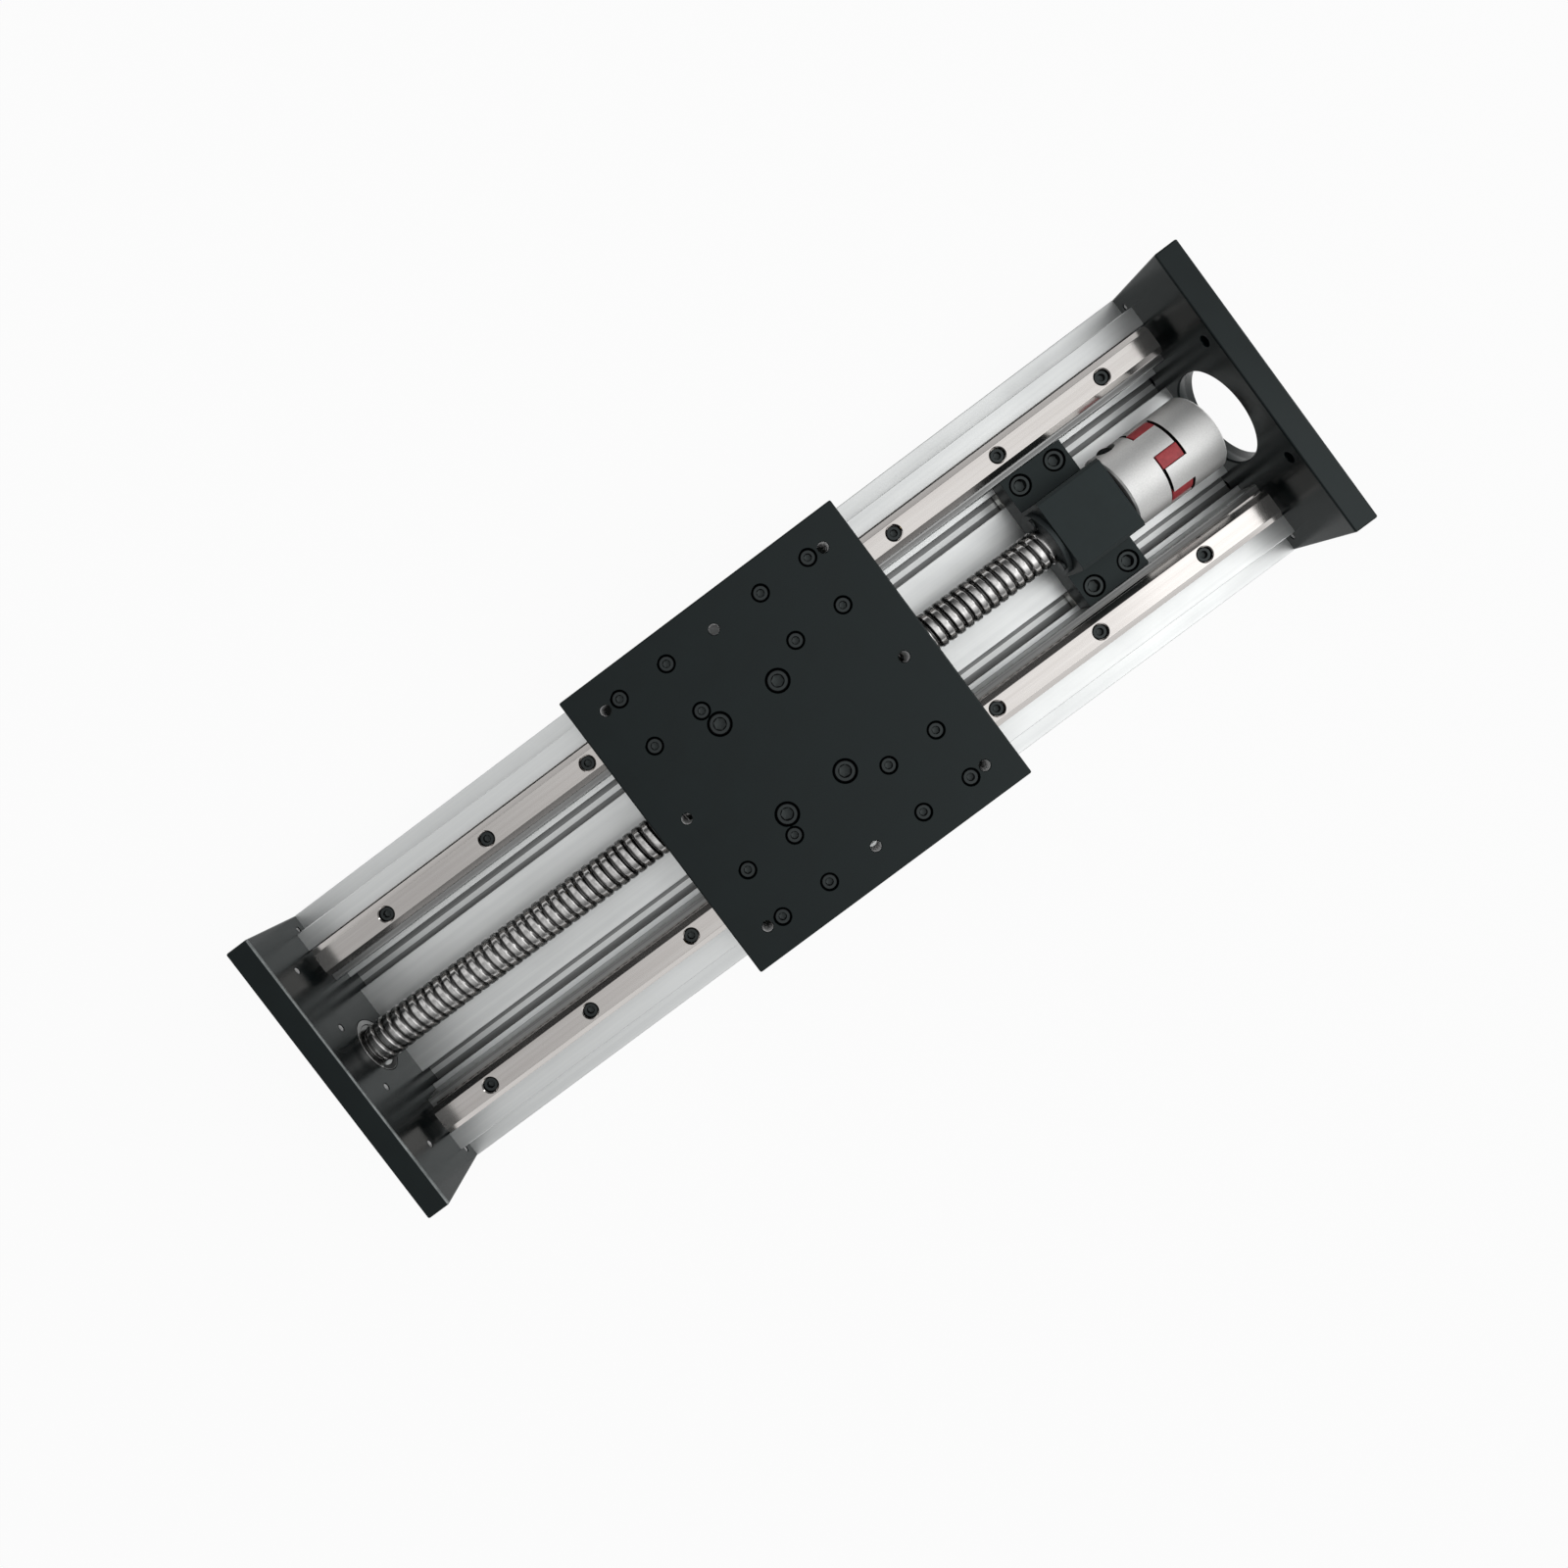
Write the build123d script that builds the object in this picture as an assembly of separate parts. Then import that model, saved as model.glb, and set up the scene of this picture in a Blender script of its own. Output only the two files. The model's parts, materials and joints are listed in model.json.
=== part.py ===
from build123d import *
import os

# A linear guide module: an aluminium base with two profile rails, four guide
# blocks under a square carriage plate, and a ball screw between two end
# plates that moves the plate. Millimetres. X runs along the screw towards
# the motor end, Y across, Z up from the underside. The origin is the middle
# of the underside, and the carriage is drawn at the middle of the base.

# Base extrusion
base_length = 500
base_width = 150
floor_thickness = 22
channel_width = 74
channel_depth = 15
shoulder_rise = 4
rail_pocket_play = 1
ledge_drop = 7
ledge_width = 9
floor_slot_inset = 7
under_slot_spacing = 95
slot_opening = 8
slot_lip = 3
slot_cavity_width = 14
slot_depth = 9
slot_corner = 2.5
chamber_wall = 4
chamber_inner_y = channel_width / 2 + chamber_wall
chamber_outer_y = 59
chamber_bottom = 14
chamber_top = 26
rib_half_width = 3

# Rails and their screws
rail_spacing = 95
rail_width = 15
rail_height = 15
rail_length = 490
rail_flat = 9.6
rail_waist = 11.4
rail_foot_height = 5.2
rail_head_height = 3.4
rail_chamfer_height = 2.2
rail_groove_slope = 1.8
rail_hole_pitch = 60
rail_hole_count = 8
rail_long_end = 40
rail_counterbore = 7.5
rail_counterbore_depth = 5.3
rail_screw = 4
rail_screw_length = 16

# Guide blocks
block_width = 34
block_body_length = 39.4
block_stack_height = 28
block_ground_gap = 4.3
block_hole_pitch = 26
block_skirt_inset = 1.5
block_skirt_height = 8
end_cap_length = 9
seal_length = 2
cap_inset = 0.6
rail_clearance = 0.1
cap_clearance = 0.4
seal_clearance = 0.2
nipple_diameter = 5
nipple_length = 4.5

# Carriage plate and its screws
plate_length = 150
plate_width = 150
plate_thickness = 18
plate_edge_chamfer = 0.8
block_centre_x = 39
block_screw = 4
block_screw_bite = 5
payload_pitch = 120
payload_tap = 5

# Nut, its bracket and their screws
nut_barrel = 36
nut_barrel_length = 41
nut_flange_diameter = 58
nut_flange_flats = 40
nut_flange_thickness = 10
nut_screw_circle = 47
nut_screw = 5
nut_screw_bite = 10
nut_screw_spread = 22
wiper_length = 3
wiper_width = 4
bracket_centre_x = -7
bracket_hole_x = 32
bracket_hole_y = 50
bracket_end_margin = 6
bracket_side_margin = 5
bracket_floor_gap = 2
bracket_taper_height = 12
bracket_taper = 5
bracket_screw = 6
bracket_screw_bite = 8.5

# Screw and bearings
axis_rise = 22
screw_diameter = 20
journal_diameter = 12
coupling_journal_diameter = 10
shoulder_diameter = 16
shoulder_length = 2
bearing_outer = 28
bearing_width = 8
ring_thickness = 2.6
shield_thickness = 0.8
shield_inset = 0.4
shield_gap = 0.4
bearing_count = 2
lock_nut_diameter = 22
lock_nut_length = 6
spacer_diameter = 18
spacer_length = 2
snap_ring_thickness = 1.1
snap_ring_width = 2.4
snap_groove_depth = 0.3
snap_ring_mouth = 7

# Bearing block at the motor end
bearing_block_centre_x = 170
bearing_block_length = 35
bearing_block_side_play = 0.2
ear_height = 15
ear_screw = 6
ear_screw_pitch = 20
body_width = 38
body_plate_gap = 3
body_chamfer = 1.5
front_wall = 7.5
cover_diameter = 34
cover_thickness = 2.5
cover_screw = 3
cover_screw_circle = 27
cover_screw_angles = (30, 150, 270)
cover_screw_bite = 5
cover_head_height = 1.7
oil_seal_diameter = 22.5
oil_seal_length = 4
slot_nut_length = 16
slot_nut_width = 12
slot_nut_height = 4
slot_nut_play = 0.2

# Jaw coupling
coupling_diameter = 40
coupling_length = 50
coupling_gap = 1.2
jaw_zone = 13.4
jaw_count = 3
spider_arm_width = 7
spider_core_diameter = 18
spider_hole_diameter = 11
spider_play = 0.3
jaw_tip_gap = 0.7
spider_rim_inset = 0.4
motor_bore = 19
screw_insert_depth = 16
hub_chamfer = 0.8
clamp_slit = 1.5
clamp_slit_length = 14
clamp_from_end = 9
screw_hub_clamp = 5
screw_hub_clamp_offset = 12.5
screw_hub_clamp_seat = 7.5
screw_hub_clamp_angle = -40
motor_hub_clamp = 4
motor_hub_clamp_offset = 13.5
motor_hub_clamp_seat = 8
motor_hub_clamp_angle = -130

# End plates
end_plate_thickness = 12
end_plate_above_carriage = 1
end_plate_chamfer = 1
end_screw = 6
end_screw_bite = 14
upper_end_screw_inset = 13.5
upper_end_screw_z = 33
lower_end_screw_inset = 8.5
lower_end_screw_z = 13
motor_hole = 50
motor_pilot = 70
motor_pilot_depth = 4
motor_screw_circle = 90
motor_screw_tap = 5
small_tap = 3.3
small_tap_rise = 19
inner_tap_spacing = 34.8
outer_tap_spacing = 102
small_tap_depth = 8
corner_tap = 2.5
corner_tap_inset = 7
corner_tap_over_ledge = 6
tail_back_hole = 22

# Screw sockets, as shares of the thread's size
socket_flats = 0.8
socket_depth = 0.55

# Room left round screws
thread_play = 0.1
through_hole_play = 0.3
head_play = 0.5
head_sink = 0.6
running_play = 0.08

# Heights and places that follow
seat_z = floor_thickness + channel_depth
shoulder_z = seat_z + shoulder_rise
ledge_z = seat_z - ledge_drop
rail_top_z = seat_z + rail_height
plate_bottom_z = seat_z + block_stack_height
plate_top_z = plate_bottom_z + plate_thickness
axis_z = floor_thickness + axis_rise
end_plate_height = plate_top_z + end_plate_above_carriage
inner_face_x = base_length / 2
outer_face_x = inner_face_x + end_plate_thickness
bearing_block_start_x = bearing_block_centre_x - bearing_block_length / 2
bearing_block_end_x = bearing_block_centre_x + bearing_block_length / 2
cover_front_x = bearing_block_start_x - cover_thickness
bearing_start_x = bearing_block_start_x + front_wall
bearing_end_x = bearing_start_x + bearing_count * bearing_width
lock_nut_start_x = bearing_end_x + spacer_length
lock_nut_end_x = lock_nut_start_x + lock_nut_length
coupling_start_x = bearing_block_end_x + coupling_gap
coupling_end_x = coupling_start_x + coupling_length
hub_length = (coupling_length - jaw_zone) / 2
jaw_start_x = coupling_start_x + hub_length
jaw_end_x = jaw_start_x + jaw_zone
inner_ring_outer = journal_diameter + 2 * ring_thickness
outer_ring_inner = bearing_outer - 2 * ring_thickness
slot_spacing = channel_width - 2 * floor_slot_inset
corner_tap_spacing = base_width - 2 * corner_tap_inset
end_screw_places = [
    (base_width / 2 - upper_end_screw_inset, upper_end_screw_z),
    (base_width / 2 - lower_end_screw_inset, lower_end_screw_z),
]


def across(section, start_x, end_x):
    """Extrude a section drawn in Y and Z along X."""
    return extrude(Plane.YZ.offset(start_x) * section, amount=end_x - start_x)


def upright(section, start_z, end_z):
    """Extrude a section drawn in X and Y along Z."""
    return extrude(Plane.XY.offset(start_z) * section, amount=end_z - start_z)


def on_axis(section):
    """Move a section drawn round zero to the screw's axis."""
    return Pos(0, axis_z) * section


def ring(outer, inner):
    return Circle(outer / 2) - Circle(inner / 2)


def shaft(diameter, start_x, end_x):
    return across(on_axis(Circle(diameter / 2)), start_x, end_x)


def collar(outer, inner, start_x, end_x):
    return across(on_axis(ring(outer, inner)), start_x, end_x)


def mirrored_outline(points):
    """Close an outline from its points on the +Y side, bottom to top."""
    other_side = [(-y, z) for y, z in reversed(points)]
    return make_face(Polyline(*points, *other_side, close=True))


def group(shapes):
    """Put separate solids into one node."""
    return Compound([solid for shape in shapes for solid in shape.solids()])


def both_sides(*values):
    return [side * value for value in values for side in (1, -1)]


def cap_radius(size):
    """A socket head is about one and a half times as wide as its thread."""
    return (1.5 * size + 1) / 2


def cap_screw(size, length):
    """A socket head cap screw that stands on the underside of its head."""
    head = upright(Circle(cap_radius(size)), 0, size)
    socket = RegularPolygon(socket_flats * size / 2, 6, major_radius=False)
    head -= upright(socket, size - socket_depth * size, size)
    return head + upright(Circle(size / 2 - thread_play), -length, 0)


def cap_screw_hole(size, depth, head_depth):
    """The hole for that screw, with its counterbore open at the top."""
    hole = upright(Circle(size / 2 + through_hole_play), -depth, 0)
    return hole + upright(Circle(cap_radius(size) + head_play), 0, head_depth)


def slot_section():
    """A T-slot that opens at its top edge."""
    neck = slot_opening / 2
    cavity = slot_cavity_width / 2
    right = [
        (cavity - slot_corner, -slot_depth),
        (cavity, slot_corner - slot_depth),
        (cavity, -slot_lip),
        (neck, -slot_lip),
        (neck, 0),
    ]
    return mirrored_outline(right)


def rail_section(play=0):
    """The rail's section on its seat, widened by play where something slides on it."""
    half = rail_width / 2
    waist = rail_waist / 2
    head_z = rail_height - rail_head_height
    right = [
        (half, 0),
        (half, rail_foot_height),
        (waist, rail_foot_height + rail_groove_slope),
        (waist, head_z - rail_groove_slope),
        (half, head_z),
        (half, rail_height - rail_chamfer_height),
        (rail_flat / 2, rail_height),
    ]
    section = mirrored_outline(right)
    if play:
        section = offset(section, amount=play, kind=Kind.INTERSECTION)
    return section


def base_section():
    rail_outer = (rail_spacing + rail_width) / 2 + rail_pocket_play
    shoulder_outer = base_width / 2 - ledge_width
    right = [
        (base_width / 2, 0),
        (base_width / 2, ledge_z),
        (shoulder_outer, ledge_z),
        (shoulder_outer, shoulder_z),
        (rail_outer, shoulder_z),
        (rail_outer, seat_z),
        (channel_width / 2, seat_z),
        (channel_width / 2, floor_thickness),
    ]
    section = mirrored_outline(right)
    middle_width = (slot_spacing - slot_cavity_width) / 2 - chamber_wall - rib_half_width
    middle_height = floor_thickness - 2 * chamber_wall
    for side in (1, -1):
        section -= Pos(side * slot_spacing / 2, floor_thickness) * slot_section()
        section -= Pos(side * under_slot_spacing / 2, 0) * Rot(0, 0, 180) * slot_section()
        side_chamber = Rectangle(chamber_outer_y - chamber_inner_y, chamber_top - chamber_bottom)
        side_y = (chamber_outer_y + chamber_inner_y) / 2
        side_z = (chamber_top + chamber_bottom) / 2
        section -= Pos(side * side_y, side_z) * side_chamber
        middle_y = rib_half_width + middle_width / 2
        middle_chamber = Rectangle(middle_width, middle_height)
        section -= Pos(side * middle_y, floor_thickness / 2) * middle_chamber
    return section


def rail_holes(side):
    """Places of one rail's holes. The second rail is the first one turned round."""
    first = -rail_length / 2 + rail_long_end
    return [side * (first + rail_hole_pitch * n) for n in range(rail_hole_count)]


def rail_screw_seat_z():
    return rail_top_z - rail_counterbore_depth


def base_extrusion():
    body = across(base_section(), -base_length / 2, base_length / 2)
    bottom = rail_screw_seat_z() - rail_screw_length - 1
    for side in (1, -1):
        for x in rail_holes(side):
            hole = upright(Circle(rail_screw / 2), bottom, seat_z)
            body -= Pos(x, side * rail_spacing / 2) * hole
    for y, z in end_screw_places:
        for hand in (1, -1):
            tap = Pos(hand * y, z) * Circle(end_screw / 2)
            depth = end_screw_bite + 2
            body -= across(tap, -base_length / 2, -base_length / 2 + depth)
            body -= across(tap, base_length / 2 - depth, base_length / 2)
    return body


def guide_rail(side):
    section = Pos(side * rail_spacing / 2, seat_z) * rail_section()
    rail = across(section, -rail_length / 2, rail_length / 2)
    seat = rail_screw_seat_z()
    for x in rail_holes(side):
        hole = upright(Circle(rail_screw / 2 + through_hole_play), seat_z, seat)
        hole += upright(Circle(rail_counterbore / 2), seat, rail_top_z)
        rail -= Pos(x, side * rail_spacing / 2) * hole
    return rail


def rail_screws(side):
    screw = cap_screw(rail_screw, rail_screw_length)
    seat = rail_screw_seat_z()
    return group([Pos(x, side * rail_spacing / 2, seat) * screw for x in rail_holes(side)])


def block_outline(inset=0):
    half = block_width / 2 - inset
    skirt = half - block_skirt_inset
    bottom = block_ground_gap + inset / 2
    top = block_stack_height - inset
    knee = bottom + block_skirt_height
    right = [(skirt, bottom), (skirt, knee), (half, knee + block_skirt_inset), (half, top)]
    return mirrored_outline(right)


def block_places():
    return [(x * block_centre_x, y * rail_spacing / 2) for x in (1, -1) for y in (1, -1)]


def block_slice(centre, start, length, inset, play):
    """A length of guide block, start measured from the block's middle."""
    x, y = centre
    section = block_outline(inset) - rail_section(play)
    return across(Pos(y, seat_z) * section, x + start, x + start + length)


def block_hole_places(centre):
    half = block_hole_pitch / 2
    return [(centre[0] + i * half, centre[1] + j * half) for i in (1, -1) for j in (1, -1)]


def guide_block(centre):
    half = block_body_length / 2
    body = block_slice(centre, -half, 2 * half, 0, rail_clearance)
    for x, y in block_hole_places(centre):
        tap = upright(Circle(block_screw / 2), plate_bottom_z - block_screw_bite - 1, plate_bottom_z)
        body -= Pos(x, y) * tap
    return body


def block_end_caps():
    half = block_body_length / 2
    starts = (half, -half - end_cap_length)
    caps = [block_slice(c, s, end_cap_length, cap_inset, cap_clearance)
            for c in block_places() for s in starts]
    return group(caps)


def block_end_seals():
    half = block_body_length / 2 + end_cap_length
    starts = (half, -half - seal_length)
    seals = [block_slice(c, s, seal_length, 2 * cap_inset, seal_clearance)
             for c in block_places() for s in starts]
    return group(seals)


def grease_nipples():
    """One nipple on the outer end of each block."""
    reach = block_body_length / 2 + end_cap_length + seal_length
    height = (rail_top_z + plate_bottom_z) / 2
    nipples = []
    for x, y in block_places():
        side = 1 if x > 0 else -1
        start = x + side * reach
        section = Pos(y, height) * Circle(nipple_diameter / 2)
        ends = sorted((start, start + side * nipple_length))
        nipples.append(across(section, *ends))
    return group(nipples)


def plate_block_screw_seat_z():
    return plate_top_z - block_screw - head_sink


def bracket_screw_seat_z():
    return plate_top_z - bracket_screw - head_sink


def bracket_hole_places():
    x = bracket_hole_x / 2
    y = bracket_hole_y / 2
    return [(bracket_centre_x + i * x, j * y) for i in (1, -1) for j in (1, -1)]


def carriage_plate():
    plate = upright(Rectangle(plate_length, plate_width), plate_bottom_z, plate_top_z)
    plate = chamfer(plate.edges().group_by(Axis.Z)[-1], plate_edge_chamfer)
    seat = plate_block_screw_seat_z()
    hole = cap_screw_hole(block_screw, seat - plate_bottom_z, plate_top_z - seat)
    for centre in block_places():
        for x, y in block_hole_places(centre):
            plate -= Pos(x, y, seat) * hole
    seat = bracket_screw_seat_z()
    hole = cap_screw_hole(bracket_screw, seat - plate_bottom_z, plate_top_z - seat)
    for x, y in bracket_hole_places():
        plate -= Pos(x, y, seat) * hole
    tap = upright(Circle(payload_tap / 2), plate_bottom_z, plate_top_z)
    for i in (1, 0, -1):
        for j in (1, 0, -1):
            if i or j:
                plate -= Pos(i * payload_pitch / 2, j * payload_pitch / 2) * tap
    return plate


def guide_block_screws():
    seat = plate_block_screw_seat_z()
    screw = cap_screw(block_screw, seat - plate_bottom_z + block_screw_bite)
    return group([Pos(x, y, seat) * screw for c in block_places() for x, y in block_hole_places(c)])


def nut_bracket_screws():
    seat = bracket_screw_seat_z()
    screw = cap_screw(bracket_screw, seat - plate_bottom_z + bracket_screw_bite)
    return group([Pos(x, y, seat) * screw for x, y in bracket_hole_places()])


def bracket_ends():
    reach = bracket_hole_x / 2 + bracket_end_margin
    return bracket_centre_x - reach, bracket_centre_x + reach


def nut_screw_places():
    """Three screws on each side of the flange, clear of its flats."""
    radius = nut_screw_circle / 2
    places = []
    for side in (0, 180):
        for step in (-1, 0, 1):
            place = Rot(0, 0, side + step * nut_screw_spread) * Pos(radius, 0)
            places.append((place.position.X, axis_z + place.position.Y))
    return places


def nut_bracket():
    half = bracket_hole_y / 2 + bracket_side_margin
    bottom = floor_thickness + bracket_floor_gap
    right = [
        (half - bracket_taper, bottom),
        (half, bottom + bracket_taper_height),
        (half, plate_bottom_z),
    ]
    start, end = bracket_ends()
    body = across(mirrored_outline(right), start, end)
    body -= shaft(nut_barrel + 2 * thread_play, start, end)
    for x, y in bracket_hole_places():
        depth = bracket_screw_bite + 1
        body -= Pos(x, y) * upright(Circle(bracket_screw / 2), plate_bottom_z - depth, plate_bottom_z)
    for y, z in nut_screw_places():
        body -= across(Pos(y, z) * Circle(nut_screw / 2), end - nut_screw_bite - 1, end)
    return body


def flange_section():
    disc = Circle(nut_flange_diameter / 2)
    return on_axis(disc & Rectangle(nut_flange_diameter, nut_flange_flats))


def nut_ends():
    face = bracket_ends()[1]
    return face - nut_barrel_length, face + nut_flange_thickness


def ball_nut():
    face = bracket_ends()[1]
    start, end = nut_ends()
    nut = shaft(nut_barrel, start, face) + across(flange_section(), face, end)
    nut -= shaft(screw_diameter + 2 * running_play, start, end)
    wiper = screw_diameter + 2 * wiper_width
    nut -= shaft(wiper, start, start + wiper_length)
    nut -= shaft(wiper, end - wiper_length, end)
    for y, z in nut_screw_places():
        nut -= across(Pos(y, z) * Circle(nut_screw / 2 + through_hole_play), face, end)
    return nut


def nut_wipers():
    start, end = nut_ends()
    outer = screw_diameter + 2 * wiper_width
    inner = screw_diameter + 4 * running_play
    return group([
        collar(outer, inner, start, start + wiper_length),
        collar(outer, inner, end - wiper_length, end),
    ])


def ball_nut_screws():
    end = nut_ends()[1]
    screw = Rot(0, 90, 0) * cap_screw(nut_screw, nut_flange_thickness + nut_screw_bite)
    return group([Pos(end, y, z) * screw for y, z in nut_screw_places()])


def screw_start_x():
    return -inner_face_x + shoulder_length


def ball_screw():
    """The screw with its turned ends. Its thread is a plain cylinder here."""
    snap_x = -inner_face_x - bearing_width
    tail_end_x = snap_x - snap_ring_thickness - 1
    screw = shaft(screw_diameter, screw_start_x(), cover_front_x)
    screw += shaft(shoulder_diameter, -inner_face_x, screw_start_x())
    screw += shaft(journal_diameter, tail_end_x, -inner_face_x)
    screw += shaft(journal_diameter, cover_front_x, lock_nut_end_x)
    screw += shaft(coupling_journal_diameter, lock_nut_end_x, coupling_start_x + screw_insert_depth)
    groove = journal_diameter - 2 * snap_groove_depth
    screw -= collar(journal_diameter + 1, groove, snap_x - snap_ring_thickness, snap_x)
    return screw


def outer_ring(start_x):
    """A bearing's outer ring with its two shields."""
    end_x = start_x + bearing_width
    body = collar(bearing_outer, outer_ring_inner, start_x, end_x)
    inner = inner_ring_outer + 2 * shield_gap
    for x in (start_x + shield_inset, end_x - shield_inset - shield_thickness):
        body += collar(outer_ring_inner + 1, inner, x, x + shield_thickness)
    return body


def inner_ring(start_x):
    return collar(inner_ring_outer, journal_diameter, start_x, start_x + bearing_width)


def block_bearing_starts():
    return [bearing_start_x + n * bearing_width for n in range(bearing_count)]


def tail_bearing_start():
    return -inner_face_x - bearing_width


def screw_spacers():
    """The sleeve in front of the bearings and the ring behind them."""
    front = collar(spacer_diameter, journal_diameter, cover_front_x, bearing_start_x)
    back = collar(spacer_diameter, journal_diameter, bearing_end_x, lock_nut_start_x)
    return group([front, back])


def lock_nut():
    return collar(lock_nut_diameter, journal_diameter, lock_nut_start_x, lock_nut_end_x)


def tail_snap_ring():
    inner = journal_diameter - 2 * snap_groove_depth
    outer = inner + 2 * snap_ring_width
    end = -inner_face_x - bearing_width
    body = collar(outer, inner, end - snap_ring_thickness, end)
    mouth = Pos(0, axis_z - outer / 2) * Rectangle(snap_ring_mouth, outer)
    return body - across(mouth, end - snap_ring_thickness, end)


def block_snap_ring():
    """The ring that keeps the bearings' outer rings in the block."""
    outer = bearing_outer + 2 * snap_groove_depth
    return collar(outer, bearing_outer - 2 * snap_ring_width, bearing_end_x, bearing_end_x + snap_ring_thickness)


def ear_screw_places():
    half = ear_screw_pitch / 2
    side = slot_spacing / 2
    return [(bearing_block_centre_x + i * half, j * side) for i in (1, -1) for j in (1, -1)]


def ear_top_z():
    return floor_thickness + ear_height


def ear_screw_seat_z():
    return ear_top_z() - ear_screw - head_sink


def cover_screw_places():
    radius = cover_screw_circle / 2
    places = [Rot(0, 0, angle) * Pos(radius, 0) for angle in cover_screw_angles]
    return [(place.position.X, axis_z + place.position.Y) for place in places]


def bearing_block():
    start = bearing_block_start_x
    end = bearing_block_end_x
    ear_width = channel_width - 2 * bearing_block_side_play
    ears = Pos(0, floor_thickness + ear_height / 2) * Rectangle(ear_width, ear_height)
    body_top = plate_bottom_z - body_plate_gap
    half = body_width / 2
    right = [
        (half, floor_thickness),
        (half, body_top - body_chamfer),
        (half - body_chamfer, body_top),
    ]
    block = across(ears + mirrored_outline(right), start, end)
    block -= shaft(bearing_outer, bearing_start_x, end)
    block -= shaft(spacer_diameter + 1, start, bearing_start_x)
    block -= shaft(oil_seal_diameter, start, start + oil_seal_length)
    groove = bearing_outer + 2 * snap_groove_depth
    block -= shaft(groove, bearing_end_x, bearing_end_x + snap_ring_thickness)
    seat = ear_screw_seat_z()
    hole = cap_screw_hole(ear_screw, seat - floor_thickness, ear_top_z() - seat)
    for x, y in ear_screw_places():
        block -= Pos(x, y, seat) * hole
    for y, z in cover_screw_places():
        block -= across(Pos(y, z) * Circle(cover_screw / 2), start, start + cover_screw_bite + 1)
    return block


def bearing_cover():
    start = cover_front_x
    end = bearing_block_start_x
    cover = collar(cover_diameter, spacer_diameter + 1, start, end)
    for y, z in cover_screw_places():
        cover -= across(Pos(y, z) * Circle(cover_screw / 2 + through_hole_play), start, end)
    return cover


def bearing_cover_screws():
    head = upright(Circle(cap_radius(cover_screw)), 0, cover_head_height)
    length = cover_thickness + cover_screw_bite
    screw = Rot(0, -90, 0) * (head + upright(Circle(cover_screw / 2 - thread_play), -length, 0))
    return group([Pos(cover_front_x, y, z) * screw for y, z in cover_screw_places()])


def oil_seal():
    start = bearing_block_start_x
    inner = spacer_diameter + 2 * running_play
    return collar(oil_seal_diameter, inner, start, start + oil_seal_length)


def bearing_block_screws():
    seat = ear_screw_seat_z()
    length = seat - floor_thickness + slot_lip + slot_nut_height
    screw = cap_screw(ear_screw, length)
    return group([Pos(x, y, seat) * screw for x, y in ear_screw_places()])


def slot_nuts():
    """One T-nut under each of the bearing block's screws."""
    lip_z = floor_thickness - slot_lip
    wide = Rectangle(slot_nut_length, slot_nut_width)
    neck = Rectangle(slot_nut_length, slot_opening - 2 * slot_nut_play)
    nut = upright(wide, lip_z - slot_nut_height, lip_z)
    nut += upright(neck, lip_z, floor_thickness - slot_nut_play)
    nut -= upright(Circle(ear_screw / 2), lip_z - slot_nut_height, floor_thickness)
    return group([Pos(x, y) * nut for x, y in ear_screw_places()])


def spider_arms(width, reach):
    arm = Pos(reach / 2, 0) * Rectangle(reach, width)
    angles = [30 + n * 180 / jaw_count for n in range(2 * jaw_count)]
    return [Rot(0, 0, angle) * arm for angle in angles]


def coupling_spider():
    reach = coupling_diameter / 2 - spider_rim_inset
    section = Circle(spider_core_diameter / 2)
    for arm in spider_arms(spider_arm_width, reach):
        section += arm & Circle(reach)
    section -= Circle(spider_hole_diameter / 2)
    return across(on_axis(section), jaw_start_x + spider_play, jaw_end_x - spider_play)


def jaw_section(first_angle):
    """Three jaws that fill every other gap between the spider's arms."""
    inner = spider_core_diameter + 2 * spider_play
    section = ring(coupling_diameter, inner)
    for arm in spider_arms(spider_arm_width + 2 * spider_play, coupling_diameter):
        section -= arm
    step = 180 / jaw_count
    reach = 2 * coupling_diameter
    corner = Rot(0, 0, step / 2) * Pos(reach, 0)
    wedge = make_face(Polyline(
        (0, 0),
        (corner.position.X, -corner.position.Y),
        (corner.position.X, corner.position.Y),
        close=True,
    ))
    wedges = [Rot(0, 0, first_angle + 2 * n * step) * wedge for n in range(jaw_count)]
    jaws = [section & one for one in wedges]
    return jaws[0] + jaws[1] + jaws[2]


def clamp_screw(start_x, size, offset_y, seat, angle):
    """A hub's clamp screw, across its slit at the given turn about the axis."""
    screw = Pos(0, offset_y, seat) * cap_screw(size, 2 * seat)
    return Pos(start_x, 0, axis_z) * Rot(angle, 0, 0) * screw


def clamp_cut(start_x, end_x, middle_x, bore, size, offset_y, seat, angle):
    """The slit, the screw's hole and the pocket for its head."""
    slit_width = abs(end_x - start_x)
    reach = coupling_diameter / 2 + 1
    slit = Box(slit_width, reach, clamp_slit, align=(Align.CENTER, Align.MIN, Align.CENTER))
    slit = Pos((start_x + end_x) / 2 - middle_x, 0, 0) * slit
    pocket = upright(Circle(cap_radius(size) + head_play), seat, coupling_diameter / 2)
    hole = upright(Circle(size / 2), -seat - 1, seat)
    cut = slit + Pos(0, offset_y, 0) * (pocket + hole)
    return Pos(middle_x, 0, axis_z) * Rot(angle, 0, 0) * cut


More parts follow.
